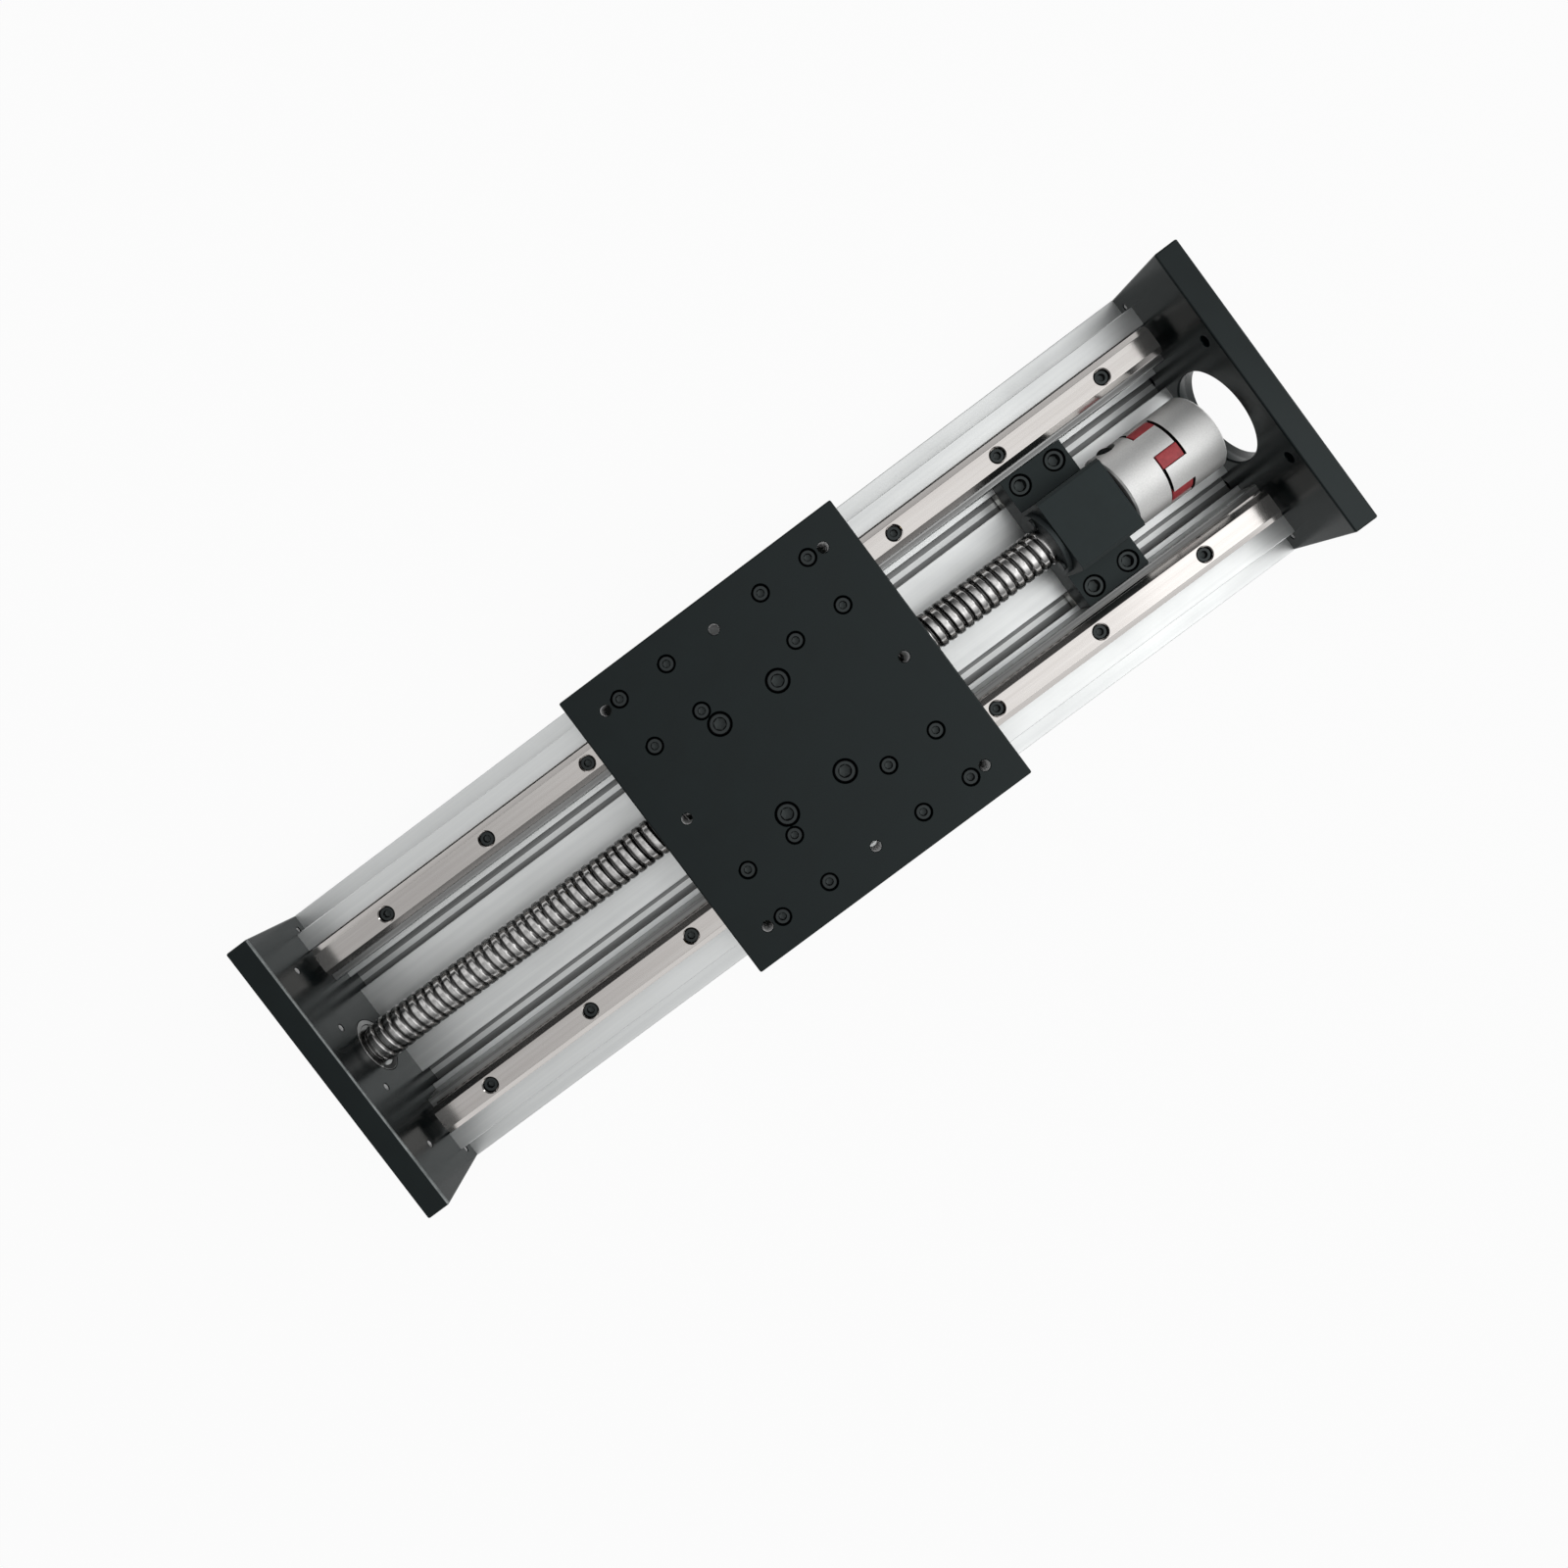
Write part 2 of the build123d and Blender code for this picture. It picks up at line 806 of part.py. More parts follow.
def coupling_screw_hub():
    hub = shaft(coupling_diameter, coupling_start_x, jaw_start_x)
    hub = chamfer(hub.edges().filter_by(GeomType.CIRCLE).group_by(Axis.X)[0], hub_chamfer)
    hub += across(on_axis(jaw_section(60)), jaw_start_x, jaw_end_x - jaw_tip_gap)
    hub -= shaft(coupling_journal_diameter, coupling_start_x, jaw_start_x)
    return hub - clamp_cut(
        coupling_start_x, coupling_start_x + clamp_slit_length, coupling_start_x + clamp_from_end,
        coupling_journal_diameter, screw_hub_clamp, screw_hub_clamp_offset,
        screw_hub_clamp_seat, screw_hub_clamp_angle)


def coupling_motor_hub():
    hub = shaft(coupling_diameter, jaw_end_x, coupling_end_x)
    hub = chamfer(hub.edges().filter_by(GeomType.CIRCLE).group_by(Axis.X)[-1], hub_chamfer)
    hub += across(on_axis(jaw_section(0)), jaw_start_x + jaw_tip_gap, jaw_end_x)
    hub -= shaft(motor_bore, jaw_end_x, coupling_end_x)
    return hub - clamp_cut(
        coupling_end_x - clamp_slit_length, coupling_end_x, coupling_end_x - clamp_from_end,
        motor_bore, motor_hub_clamp, motor_hub_clamp_offset,
        motor_hub_clamp_seat, motor_hub_clamp_angle)


def coupling_clamp_screws():
    return group([
        clamp_screw(coupling_start_x + clamp_from_end, screw_hub_clamp,
                    screw_hub_clamp_offset, screw_hub_clamp_seat, screw_hub_clamp_angle),
        clamp_screw(coupling_end_x - clamp_from_end, motor_hub_clamp,
                    motor_hub_clamp_offset, motor_hub_clamp_seat, motor_hub_clamp_angle),
    ])


def end_plate(hand):
    """What both end plates share. Hand is 1 at the motor end and -1 at the tail."""
    start, end = sorted((hand * inner_face_x, hand * outer_face_x))
    outline = Pos(0, end_plate_height / 2) * Rectangle(base_width, end_plate_height)
    plate = across(outline, start, end)
    plate = chamfer(plate.edges().group_by(Axis.Z)[-1], end_plate_chamfer)
    seat = outer_face_x - end_screw - head_sink
    hole = cap_screw_hole(end_screw, seat - inner_face_x, outer_face_x - seat)
    for y, z in end_screw_places:
        for side in (1, -1):
            plate -= Pos(hand * seat, side * y, z) * Rot(0, hand * 90, 0) * hole
    corner_z = ledge_z + corner_tap_over_ledge
    corners = [(y / 2, corner_z) for y in both_sides(corner_tap_spacing)]
    return plate - inner_taps(hand, corners, corner_tap)


def inner_taps(hand, places, diameter):
    """Blind tapped holes in the face of an end plate that looks at the carriage."""
    start, end = sorted((hand * inner_face_x, hand * (inner_face_x + small_tap_depth)))
    return [across(Pos(y, z) * Circle(diameter / 2), start, end) for y, z in places]


def motor_end_plate():
    plate = end_plate(1)
    plate -= shaft(motor_hole, inner_face_x, outer_face_x)
    plate -= shaft(motor_pilot, outer_face_x - motor_pilot_depth, outer_face_x)
    for angle in (45, 135, 225, 315):
        place = Rot(0, 0, angle) * Pos(motor_screw_circle / 2, 0)
        tap = on_axis(Pos(place.position.X, place.position.Y) * Circle(motor_screw_tap / 2))
        plate -= across(tap, inner_face_x, outer_face_x)
    return plate


def tail_end_plate():
    plate = end_plate(-1)
    spacings = both_sides(inner_tap_spacing, outer_tap_spacing)
    plate -= inner_taps(-1, [(y / 2, axis_z + small_tap_rise) for y in spacings], small_tap)
    plate -= shaft(bearing_outer, -inner_face_x - bearing_width, -inner_face_x)
    return plate - shaft(tail_back_hole, -outer_face_x, -inner_face_x - bearing_width)


def end_plate_screws(hand):
    seat = outer_face_x - end_screw - head_sink
    length = seat - inner_face_x + end_screw_bite
    screw = Rot(0, hand * 90, 0) * cap_screw(end_screw, length)
    places = [(side * y, z) for y, z in end_screw_places for side in (1, -1)]
    return group([Pos(hand * seat, y, z) * screw for y, z in places])


block_names = (
    "guide_block_motor_left",
    "guide_block_motor_right",
    "guide_block_tail_left",
    "guide_block_tail_right",
)

parts = {
    "base_extrusion": base_extrusion(),
    "left_guide_rail": guide_rail(1),
    "right_guide_rail": guide_rail(-1),
    "left_rail_screws": rail_screws(1),
    "right_rail_screws": rail_screws(-1),
    "motor_end_plate": motor_end_plate(),
    "tail_end_plate": tail_end_plate(),
    "motor_plate_screws": end_plate_screws(1),
    "tail_plate_screws": end_plate_screws(-1),
    "bearing_block": bearing_block(),
    "bearing_block_screws": bearing_block_screws(),
    "slot_nuts": slot_nuts(),
    "bearing_cover": bearing_cover(),
    "bearing_cover_screws": bearing_cover_screws(),
    "oil_seal": oil_seal(),
    "block_snap_ring": block_snap_ring(),
    "block_bearing_outer_rings": group([outer_ring(x) for x in block_bearing_starts()]),
    "tail_bearing_outer_ring": outer_ring(tail_bearing_start()),
    "carriage_plate": carriage_plate(),
    "block_end_caps": block_end_caps(),
    "block_end_seals": block_end_seals(),
    "grease_nipples": grease_nipples(),
    "guide_block_screws": guide_block_screws(),
    "nut_bracket": nut_bracket(),
    "nut_bracket_screws": nut_bracket_screws(),
    "ball_nut": ball_nut(),
    "ball_nut_screws": ball_nut_screws(),
    "nut_wipers": nut_wipers(),
    "ball_screw": ball_screw(),
    "block_bearing_inner_rings": group([inner_ring(x) for x in block_bearing_starts()]),
    "tail_bearing_inner_ring": inner_ring(tail_bearing_start()),
    "screw_spacers": screw_spacers(),
    "lock_nut": lock_nut(),
    "tail_snap_ring": tail_snap_ring(),
    "coupling_screw_hub": coupling_screw_hub(),
    "coupling_motor_hub": coupling_motor_hub(),
    "coupling_spider": coupling_spider(),
    "coupling_clamp_screws": coupling_clamp_screws(),
}
for name, centre in zip(block_names, block_places()):
    parts[name] = guide_block(centre)

os.makedirs("parts", exist_ok=True)
for name, shape in parts.items():
    export_step(shape, f"parts/{name}.step")
print(len(parts), "nodes")
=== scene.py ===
# %% [markdown]
# This lesson dresses a linear guide module: a bright aluminium base, two ground steel rails,
# a black carriage plate on four guide blocks, a ball screw, a bearing block, a jaw coupling
# and two black end plates. The solid model comes in first as a fixed frame. Every visible
# piece is then built or copied at the place the frame gives, with softened edges and its own
# finish, because real metal parts never have perfectly sharp edges.
# %% Load the frame
import json
import math

import bmesh
import bpy
from mathutils import Matrix, Vector

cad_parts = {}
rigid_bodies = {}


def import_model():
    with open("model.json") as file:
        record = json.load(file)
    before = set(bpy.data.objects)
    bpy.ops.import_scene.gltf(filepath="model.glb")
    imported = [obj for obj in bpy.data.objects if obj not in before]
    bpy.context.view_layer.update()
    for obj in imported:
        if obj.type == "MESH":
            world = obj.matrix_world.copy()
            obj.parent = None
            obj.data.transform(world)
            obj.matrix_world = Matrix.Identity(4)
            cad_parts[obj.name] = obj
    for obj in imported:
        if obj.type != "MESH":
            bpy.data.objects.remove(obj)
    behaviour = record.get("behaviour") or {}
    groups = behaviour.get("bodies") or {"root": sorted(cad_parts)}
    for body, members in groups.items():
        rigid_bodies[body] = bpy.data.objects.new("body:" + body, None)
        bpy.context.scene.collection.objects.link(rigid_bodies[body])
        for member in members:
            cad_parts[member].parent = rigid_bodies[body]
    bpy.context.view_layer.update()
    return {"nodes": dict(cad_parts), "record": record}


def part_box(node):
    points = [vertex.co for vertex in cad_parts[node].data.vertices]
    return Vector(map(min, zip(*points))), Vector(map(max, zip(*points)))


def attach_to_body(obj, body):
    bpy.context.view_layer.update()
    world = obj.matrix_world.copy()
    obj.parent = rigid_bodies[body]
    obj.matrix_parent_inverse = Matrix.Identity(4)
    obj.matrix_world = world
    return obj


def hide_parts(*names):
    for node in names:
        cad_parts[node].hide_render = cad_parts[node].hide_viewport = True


for start_object in list(bpy.data.objects):
    bpy.data.objects.remove(start_object)
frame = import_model()
MM = 0.001
record = frame["record"]
mounts = {mount["name"]: mount for mount in record["mounts"]}

# %% [markdown]
# The photograph looks almost straight down from a little over half a metre, so both end
# plates lean outwards in it. A wide lens gives that spread. The camera's place, turn and
# lens were worked out from the rail holes and plate corners, and the small shift only
# brings the module to where it stands in the picture.
# %% Camera
camera_data = bpy.data.cameras.new("camera")
camera_data.sensor_width = 36
camera_data.lens = 25.34
camera_data.shift_x = 0.0341
camera_data.shift_y = -0.0263
camera_data.clip_start = 0.01
camera = bpy.data.objects.new("camera", camera_data)
camera.location = Vector((-10.2, 27.6, 571.8)) * MM
camera.rotation_euler = [math.radians(angle) for angle in (-2.114, 0.463, -36.833)]
bpy.context.scene.collection.objects.link(camera)
bpy.context.scene.camera = camera
print("camera height", round(camera.location.z, 3))

# %% [markdown]
# Finishes come from small node groups. Each one starts from the object's own coordinates,
# in metres, which never slide when a piece moves. A stretched noise gives the lengthwise
# lines of drawn, ground or milled metal, and a second, larger noise varies the shine as
# handling does. A picture could carry the lines too, but noise has no seams.
# %% Noise helpers
def new_material(name, colour, metallic, roughness):
    material = bpy.data.materials.new(name)
    material.use_nodes = True
    shader = material.node_tree.nodes["Principled BSDF"]
    shader.inputs["Base Color"].default_value = (*colour, 1)
    shader.inputs["Metallic"].default_value = metallic
    shader.inputs["Roughness"].default_value = roughness
    return material, shader


def stretched_noise(material, scale, detail=4.0, rough=0.6):
    """Noise over the object's coordinates, with its own scale along each axis."""
    nodes = material.node_tree.nodes
    links = material.node_tree.links
    place = nodes.new("ShaderNodeTexCoord")
    mapping = nodes.new("ShaderNodeMapping")
    mapping.inputs["Scale"].default_value = scale
    noise = nodes.new("ShaderNodeTexNoise")
    noise.inputs["Scale"].default_value = 1.0
    noise.inputs["Detail"].default_value = detail
    noise.inputs["Roughness"].default_value = rough
    links.new(place.outputs["Object"], mapping.inputs["Vector"])
    links.new(mapping.outputs["Vector"], noise.inputs["Vector"])
    return noise.outputs["Fac"]


def spread(material, value, low, high):
    """Map a noise, which mostly stays near its middle, to a range."""
    node = material.node_tree.nodes.new("ShaderNodeMapRange")
    node.inputs["From Min"].default_value = 0.3
    node.inputs["From Max"].default_value = 0.7
    node.inputs["To Min"].default_value = low
    node.inputs["To Max"].default_value = high
    material.node_tree.links.new(value, node.inputs["Value"])
    return node.outputs["Result"]


def tint(material, value, dark, light):
    """Blend two colours by a noise."""
    node = material.node_tree.nodes.new("ShaderNodeValToRGB")
    node.color_ramp.elements[0].position = 0.3
    node.color_ramp.elements[0].color = (*dark, 1)
    node.color_ramp.elements[1].position = 0.7
    node.color_ramp.elements[1].color = (*light, 1)
    material.node_tree.links.new(value, node.inputs["Fac"])
    return node.outputs["Color"]


def raise_bump(material, shader, value, depth):
    """Tilt the surface by a noise, as if it had grooves of this depth in metres."""
    bump = material.node_tree.nodes.new("ShaderNodeBump")
    bump.inputs["Strength"].default_value = 1.0
    bump.inputs["Distance"].default_value = depth
    material.node_tree.links.new(value, bump.inputs["Height"])
    material.node_tree.links.new(bump.outputs["Normal"], shader.inputs["Normal"])


print("noise helpers ready")

# %% [markdown]
# Three recipes cover every finish. Bright metal takes its colour from its own lines. A black
# skin, such as anodising, is almost black in itself, and what the eye sees of it is a weak
# shine, so the shine carries the skin's cool tint. Plastic and rubber follow the first
# recipe without the metal, which is simpler than a recipe of their own.
# %% Finish recipes
COOL_SHEEN = (0.88, 1, 1, 1)
WEAR_SCALE = (18, 40, 40)
CLOUD_SCALE = (60, 60, 60)
SKIN_GRAIN = (900, 900, 900)
SKIN_BUMP = 6e-7


def metal_finish(name, dark, light, grain, roughness, depth, metallic=1.0):
    """A metal with drawn or ground lines. Grain is the noise's scale along X, Y and Z."""
    material, shader = new_material(name, light, metallic, roughness[0])
    links = material.node_tree.links
    lines = stretched_noise(material, grain)
    wear = stretched_noise(material, WEAR_SCALE, 3.0)
    links.new(tint(material, lines, dark, light), shader.inputs["Base Color"])
    links.new(spread(material, wear, *roughness), shader.inputs["Roughness"])
    raise_bump(material, shader, lines, depth)
    return material


def dark_finish(name, dark, light, roughness, specular=0.25):
    """A black skin with little shine of its own: anodising, black oxide or satin paint."""
    material, shader = new_material(name, light, 0.0, roughness)
    links = material.node_tree.links
    cloud = stretched_noise(material, CLOUD_SCALE, 3.0)
    grain = stretched_noise(material, SKIN_GRAIN, 2.0)
    links.new(tint(material, cloud, dark, light), shader.inputs["Base Color"])
    links.new(spread(material, cloud, roughness - 0.03, roughness + 0.05), shader.inputs["Roughness"])
    shader.inputs["Specular IOR Level"].default_value = specular
    shader.inputs["Specular Tint"].default_value = COOL_SHEEN
    raise_bump(material, shader, grain, SKIN_BUMP)
    return material


def soft_finish(name, dark, light, grain, roughness, depth):
    """A plastic or rubber with a fine moulded grain."""
    return metal_finish(name, dark, light, (grain, grain, grain), roughness, depth, metallic=0.0)


print("recipes ready")

# %% [markdown]
# The finishes follow the photograph. The base is drawn aluminium with lines along its
# length, with painted shade in its slots and on the milled seat by each rail. The rails are
# ground steel, a little warmer. The screw is brighter, and the coupling is blasted. Each
# noise has its own scale along X, Y and Z, so that the lines run the way the tool went.
# %% Bright metals
drawn_aluminium = metal_finish(
    "extruded_aluminium", dark=(0.722, 0.735, 0.735), light=(0.812, 0.825, 0.82),
    grain=(2, 260, 260), roughness=(0.36, 0.46), depth=3e-7)
# Painted shade for the inside of the base's slots.
slot_skin = metal_finish(
    "slot_skin", dark=(0.2, 0.205, 0.205), light=(0.32, 0.325, 0.325),
    grain=(3, 260, 260), roughness=(0.4, 0.5), depth=3e-7)
# Painted shade for the seat beside each rail.
seat_painted_shade = metal_finish(
    "milled_rail_seat", dark=(0.12, 0.122, 0.12), light=(0.46, 0.465, 0.465),
    grain=(1.5, 1100, 1100), roughness=(0.35, 0.45), depth=3e-7)
ground_rail = metal_finish(
    "ground_rail_steel", dark=(0.57, 0.54, 0.52), light=(0.63, 0.605, 0.585),
    grain=(6, 500, 500), roughness=(0.12, 0.18), depth=6e-8)
block_steel = metal_finish(
    "guide_block_steel", dark=(0.4, 0.4, 0.4), light=(0.55, 0.55, 0.54),
    grain=(40, 900, 900), roughness=(0.25, 0.38), depth=3e-7)
screw_steel = metal_finish(
    "ball_screw_steel", dark=(0.43, 0.425, 0.42), light=(0.7, 0.69, 0.68),
    grain=(700, 500, 500), roughness=(0.14, 0.28), depth=3e-7)
turned_steel = metal_finish(
    "turned_steel", dark=(0.38, 0.38, 0.38), light=(0.52, 0.52, 0.51),
    grain=(2500, 60, 60), roughness=(0.2, 0.32), depth=3e-7)
zinc_plate = metal_finish(
    "zinc_plated_steel", dark=(0.45, 0.45, 0.42), light=(0.6, 0.6, 0.57),
    grain=(250, 250, 250), roughness=(0.25, 0.4), depth=1e-6)
nipple_brass = metal_finish(
    "turned_brass", dark=(0.5, 0.36, 0.13), light=(0.72, 0.55, 0.25),
    grain=(2500, 80, 80), roughness=(0.2, 0.32), depth=3e-7)
blasted_aluminium = metal_finish(
    "blasted_aluminium", dark=(0.8, 0.8, 0.79), light=(0.91, 0.91, 0.9),
    grain=(1500, 1500, 1500), roughness=(0.52, 0.6), depth=2e-6)
bare_thread = metal_finish(
    "bare_aluminium_thread", dark=(0.7, 0.7, 0.7), light=(0.92, 0.92, 0.92),
    grain=(60, 60, 900), roughness=(0.4, 0.5), depth=1e-5, metallic=0.15)
print("bright finishes", len(bpy.data.materials))

# %% [markdown]
# The plates are milled and black anodised, which leaves a satin skin. Along the tail
# plate's upper inner edge a grey is painted on, as a painted highlight on the chamfer there.
# The bearing block is a lighter black, its cover takes that black painted lighter still, as
# painted light on a face turned away from the lamps, and the screws are black oxide. The
# coupling's spider is red polyurethane, the seals are rubber and the guide blocks' caps are
# nylon. One shared black would be quicker, but the photograph tells these blacks apart.
# %% Dark and soft finishes
black_anodised = dark_finish(
    "black_anodised", (0.0012, 0.003, 0.0035), (0.0026, 0.0056, 0.0063), 0.22, specular=0.28)
block_black = dark_finish(
    "bearing_block_black", (0.0115, 0.016, 0.0168), (0.017, 0.0235, 0.0245), 0.4)
# The cover's black is painted lighter, as painted light on a face turned away from the lamps.
cover_painted_lighter = dark_finish(
    "bearing_cover_black", (0.036, 0.043, 0.045), (0.048, 0.056, 0.058), 0.42)
black_oxide = dark_finish(
    "black_oxide", (0.002, 0.002, 0.0024), (0.006, 0.006, 0.007), 0.32, specular=0.5)
# A grey painted highlight for the tail plate's upper inner chamfer.
edge_painted_highlight = metal_finish(
    "worn_plate_edge", dark=(0.12, 0.13, 0.13), light=(0.3, 0.32, 0.32),
    grain=(60, 90, 90), roughness=(0.3, 0.45), depth=1e-6)
red_urethane = soft_finish(
    "red_urethane", (0.4, 0.036, 0.046), (0.55, 0.062, 0.072), 400, (0.36, 0.5), 3e-6)
seal_rubber = soft_finish(
    "seal_rubber", (0.01, 0.01, 0.01), (0.022, 0.022, 0.022), 700, (0.5, 0.65), 3e-6)
cap_nylon = soft_finish(
    "end_cap_nylon", (0.01, 0.016, 0.013), (0.022, 0.034, 0.028), 700, (0.42, 0.55), 3e-6)
print("all finishes", len(bpy.data.materials))

# %% [markdown]
# Shapes are made in three ways. The first is a straight profile: an outline with rounded
# corners, drawn across the module and pulled along it. The corners are rounded in the
# outline, so they stay even over half a metre, where a bevel could change along the way.
# %% Pulled shapes
def rounded(points, radius, steps=3):
    """Replace each corner of a closed outline with a small arc."""
    corners = []
    count = len(points)
    for index, point in enumerate(points):
        here = Vector(point)
        before = (Vector(points[index - 1]) - here)
        after = (Vector(points[(index + 1) % count]) - here)
        turn = before.angle(after)
        reach = min(radius / math.tan(turn / 2), before.length * 0.45, after.length * 0.45)
        start = here + before.normalized() * reach
        end = here + after.normalized() * reach
        for step in range(steps + 1):
            share = step / steps
            first = start.lerp(here, share)
            second = here.lerp(end, share)
            corners.append(first.lerp(second, share))
    return corners


def object_from(mesh_builder, name, material):
    """Turn what the builder holds into an object with one finish."""
    mesh = bpy.data.meshes.new(name)
    bmesh.ops.recalc_face_normals(mesh_builder, faces=mesh_builder.faces)
    mesh_builder.to_mesh(mesh)
    mesh_builder.free()
    piece = bpy.data.objects.new(name, mesh)
    bpy.context.scene.collection.objects.link(piece)
    mesh.materials.append(material)
    return piece


def pull_into(builder, outline, start_x, end_x):
    """Pull a closed outline, given in Y and Z millimetres, along X."""
    near = [builder.verts.new((start_x * MM, y * MM, z * MM)) for y, z in outline]
    far = [builder.verts.new((end_x * MM, y * MM, z * MM)) for y, z in outline]
    count = len(outline)
    for index in range(count):
        other = (index + 1) % count
        builder.faces.new((near[index], near[other], far[other], far[index]))
    builder.faces.new(near)
    builder.faces.new(far)


def pulled(name, outline, start_x, end_x, material):
    builder = bmesh.new()
    pull_into(builder, outline, start_x, end_x)
    return object_from(builder, name, material)


print("pulled shapes ready")

# %% [markdown]
# The second way is a turned shape, a profile spun round an axis as on a lathe. It makes
# journals, screw heads and the shapes that cut holes. Three ways to stand are enough for
# this module: upright, along the screw towards the motor, and back towards the tail.
# %% Turned shapes
UPRIGHT = Matrix.Identity(3)
ALONG_X = Matrix(((0, 0, 1), (0, 1, 0), (-1, 0, 0)))
AGAINST_X = Matrix(((0, 0, -1), (0, 1, 0), (1, 0, 0)))


def spin_into(builder, profile, origin, turn, steps=48):
    """Spin a profile of (radius, height) millimetres round an axis. Radius 0 closes an end."""
    rows = []
    for radius, height in profile:
        if radius == 0:
            centre = turn @ Vector((0, 0, height)) + Vector(origin)
            rows.append([builder.verts.new(centre * MM)])
            continue
        row = []
        for step in range(steps):
            angle = 2 * math.pi * step / steps
            local = Vector((radius * math.cos(angle), radius * math.sin(angle), height))
            row.append(builder.verts.new((turn @ local + Vector(origin)) * MM))
        rows.append(row)
    for low, high in zip(rows, rows[1:]):
        join_rows(builder, low, high)
    if profile[0] == profile[-1]:
        bmesh.ops.remove_doubles(builder, verts=rows[0] + rows[-1], dist=1e-7)


def join_rows(builder, low, high):
    """Close the gap between two rings of points, or between a ring and a single point."""
    count = max(len(low), len(high))
    for index in range(count):
        other = (index + 1) % count
        if len(low) == 1:
            builder.faces.new((low[0], high[index], high[other]))
        elif len(high) == 1:
            builder.faces.new((low[index], low[other], high[0]))
        else:
            builder.faces.new((low[index], low[other], high[other], high[index]))


print("turned shapes ready")

# %% [markdown]
# The third way cuts. A hole is a turned shape taken away with the boolean tool, so a
# counterbore and its small lead-in chamfer come in one cut. At the end a bevel softens what
# is still sharp, and weighted normals keep the flat faces flat right up to it.
# %% Cutting and softening
def applied(piece):
    """Swap the piece's mesh for what its modifiers give."""
    bpy.context.view_layer.update()
    graph = bpy.context.evaluated_depsgraph_get()
    mesh = bpy.data.meshes.new_from_object(piece.evaluated_get(graph))
    piece.modifiers.clear()
    piece.data = mesh
    return piece


def cut_holes(piece, builder):
    """Cut away everything in the builder's closed shapes."""
    bmesh.ops.recalc_face_normals(builder, faces=builder.faces)
    cutter = object_from(builder, "cutter", piece.data.materials[0])
    cut = piece.modifiers.new("holes", "BOOLEAN")
    cut.operation = "DIFFERENCE"
    cut.solver = "EXACT"
    cut.use_self = True
    cut.object = cutter
    applied(piece)
    bpy.data.objects.remove(cutter)


def soften(piece, width, angle=35):
    """Bevel the sharp edges a little and shade the round ones smooth."""
    if width:
        bevel = piece.modifiers.new("bevel", "BEVEL")
        bevel.width = width * MM
        bevel.segments = 2
        bevel.limit_method = "ANGLE"
        bevel.angle_limit = math.radians(angle)
        bevel.use_clamp_overlap = True
        bevel.miter_outer = "MITER_ARC"
        applied(piece)
    mesh = piece.data
    mesh.shade_smooth()
    mesh.set_sharp_from_angle(angle=math.radians(angle))
    weigh = piece.modifiers.new("flat faces stay flat", "WEIGHTED_NORMAL")
    weigh.keep_sharp = True
    weigh.weight = 100
    return applied(piece)


print("cutting ready")

# %% [markdown]
# Every dressed piece stands in for a node of the solid model and rides on its body, so that
# it moves with the joints. Where the solid's own shape is right already, a copy of it is
# dressed instead of building it twice. The copy's facets are joined into whole faces first,
# because a bevel would follow every facet's edge.
# %% Riding on the frame
BODY = {"base": [], "carriage": [], "screw": []}
bodies = {node: body for body, nodes in record["behaviour"]["bodies"].items() for node in nodes}


def attach(piece, body, *nodes):
    """Make the piece ride on its body in place of the given nodes."""
    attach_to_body(piece, body)
    if nodes:
        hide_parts(*nodes)
    BODY[body].append(piece.name)
    return piece


def dress(node, material, width, ends=None):
    """Copy a node whose shape is right, clean its facets, soften it and give it its finish.

    Ends gives two places along X and a play: what lies outside them is drawn in by the play."""
    builder = bmesh.new()
    builder.from_mesh(frame["nodes"][node].data)
    if ends:
        first_x, last_x, play = ends
        for vertex in builder.verts:
            if vertex.co.x < first_x * MM:
                vertex.co.x += play * MM
            elif vertex.co.x > last_x * MM:
                vertex.co.x -= play * MM
    bmesh.ops.remove_doubles(builder, verts=builder.verts, dist=1e-6)
    bmesh.ops.dissolve_limit(
        builder, angle_limit=math.radians(0.5), verts=builder.verts, edges=builder.edges)
    piece = object_from(builder, node + "_dressed", material)
    soften(piece, width)
    return attach(piece, bodies[node], node)


print("ready to dress", len(bodies), "nodes")

# %% [markdown]
# The frame tells where each piece lies. These are the module's main levels. They could be
# typed in again, but read from the boxes of the nodes they stay true to the solid model.
# %% Levels from the frame
def box_mm(node):
    low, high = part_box(node)
    return low / MM, high / MM


base_low, base_high = box_mm("base_extrusion")
rail_low, rail_high = box_mm("left_guide_rail")
plate_low, plate_high = box_mm("carriage_plate")
motor_low, motor_high = box_mm("motor_end_plate")
tail_low, tail_high = box_mm("tail_end_plate")
bearing_low, bearing_high = box_mm("bearing_block")
screw_low, screw_high = box_mm("ball_screw")
cover_low = box_mm("bearing_cover")[0]
SEAT = rail_low.z
RAIL_TOP = rail_high.z
AXIS = mounts["motor_screw_holes"]["pos_m"][2] / MM
RAIL_Y = (rail_low.y + rail_high.y) / 2
FLOOR = bearing_low.z
print("seat", round(SEAT, 2), "rail top", round(RAIL_TOP, 2), "axis", round(AXIS, 2))

# %% [markdown]
# The base is one aluminium extrusion. Its outline has a ledge along each side, a shoulder, a
# pocket for the rail, and a channel with two T-slots, and two more T-slots underneath. It
# could be carved from a box, but an outline pulled along X keeps every corner's radius, and
# that small radius is what catches the light on the real profile.
# %% Base outline
SLOT_Y = 30
UNDER_SLOT_Y = 47.5
LEDGE_Z = 30
CHANNEL_HALF = 37
SHOULDER_OUTER = 66
POCKET_OUTER = 56


def slot_points(centre, top, up):
    """The corners of a T-slot, from its -Y lip to its +Y lip, with a strip along its bottom."""
    half = [(4, 0), (4, 3), (7, 3), (7, 6.5), (4.5, 9), (1.4, 9)]
    left = [(centre - y, top - up * z) for y, z in half]
    right = [(centre + y, top - up * z) for y, z in reversed(half)]
    return left + right


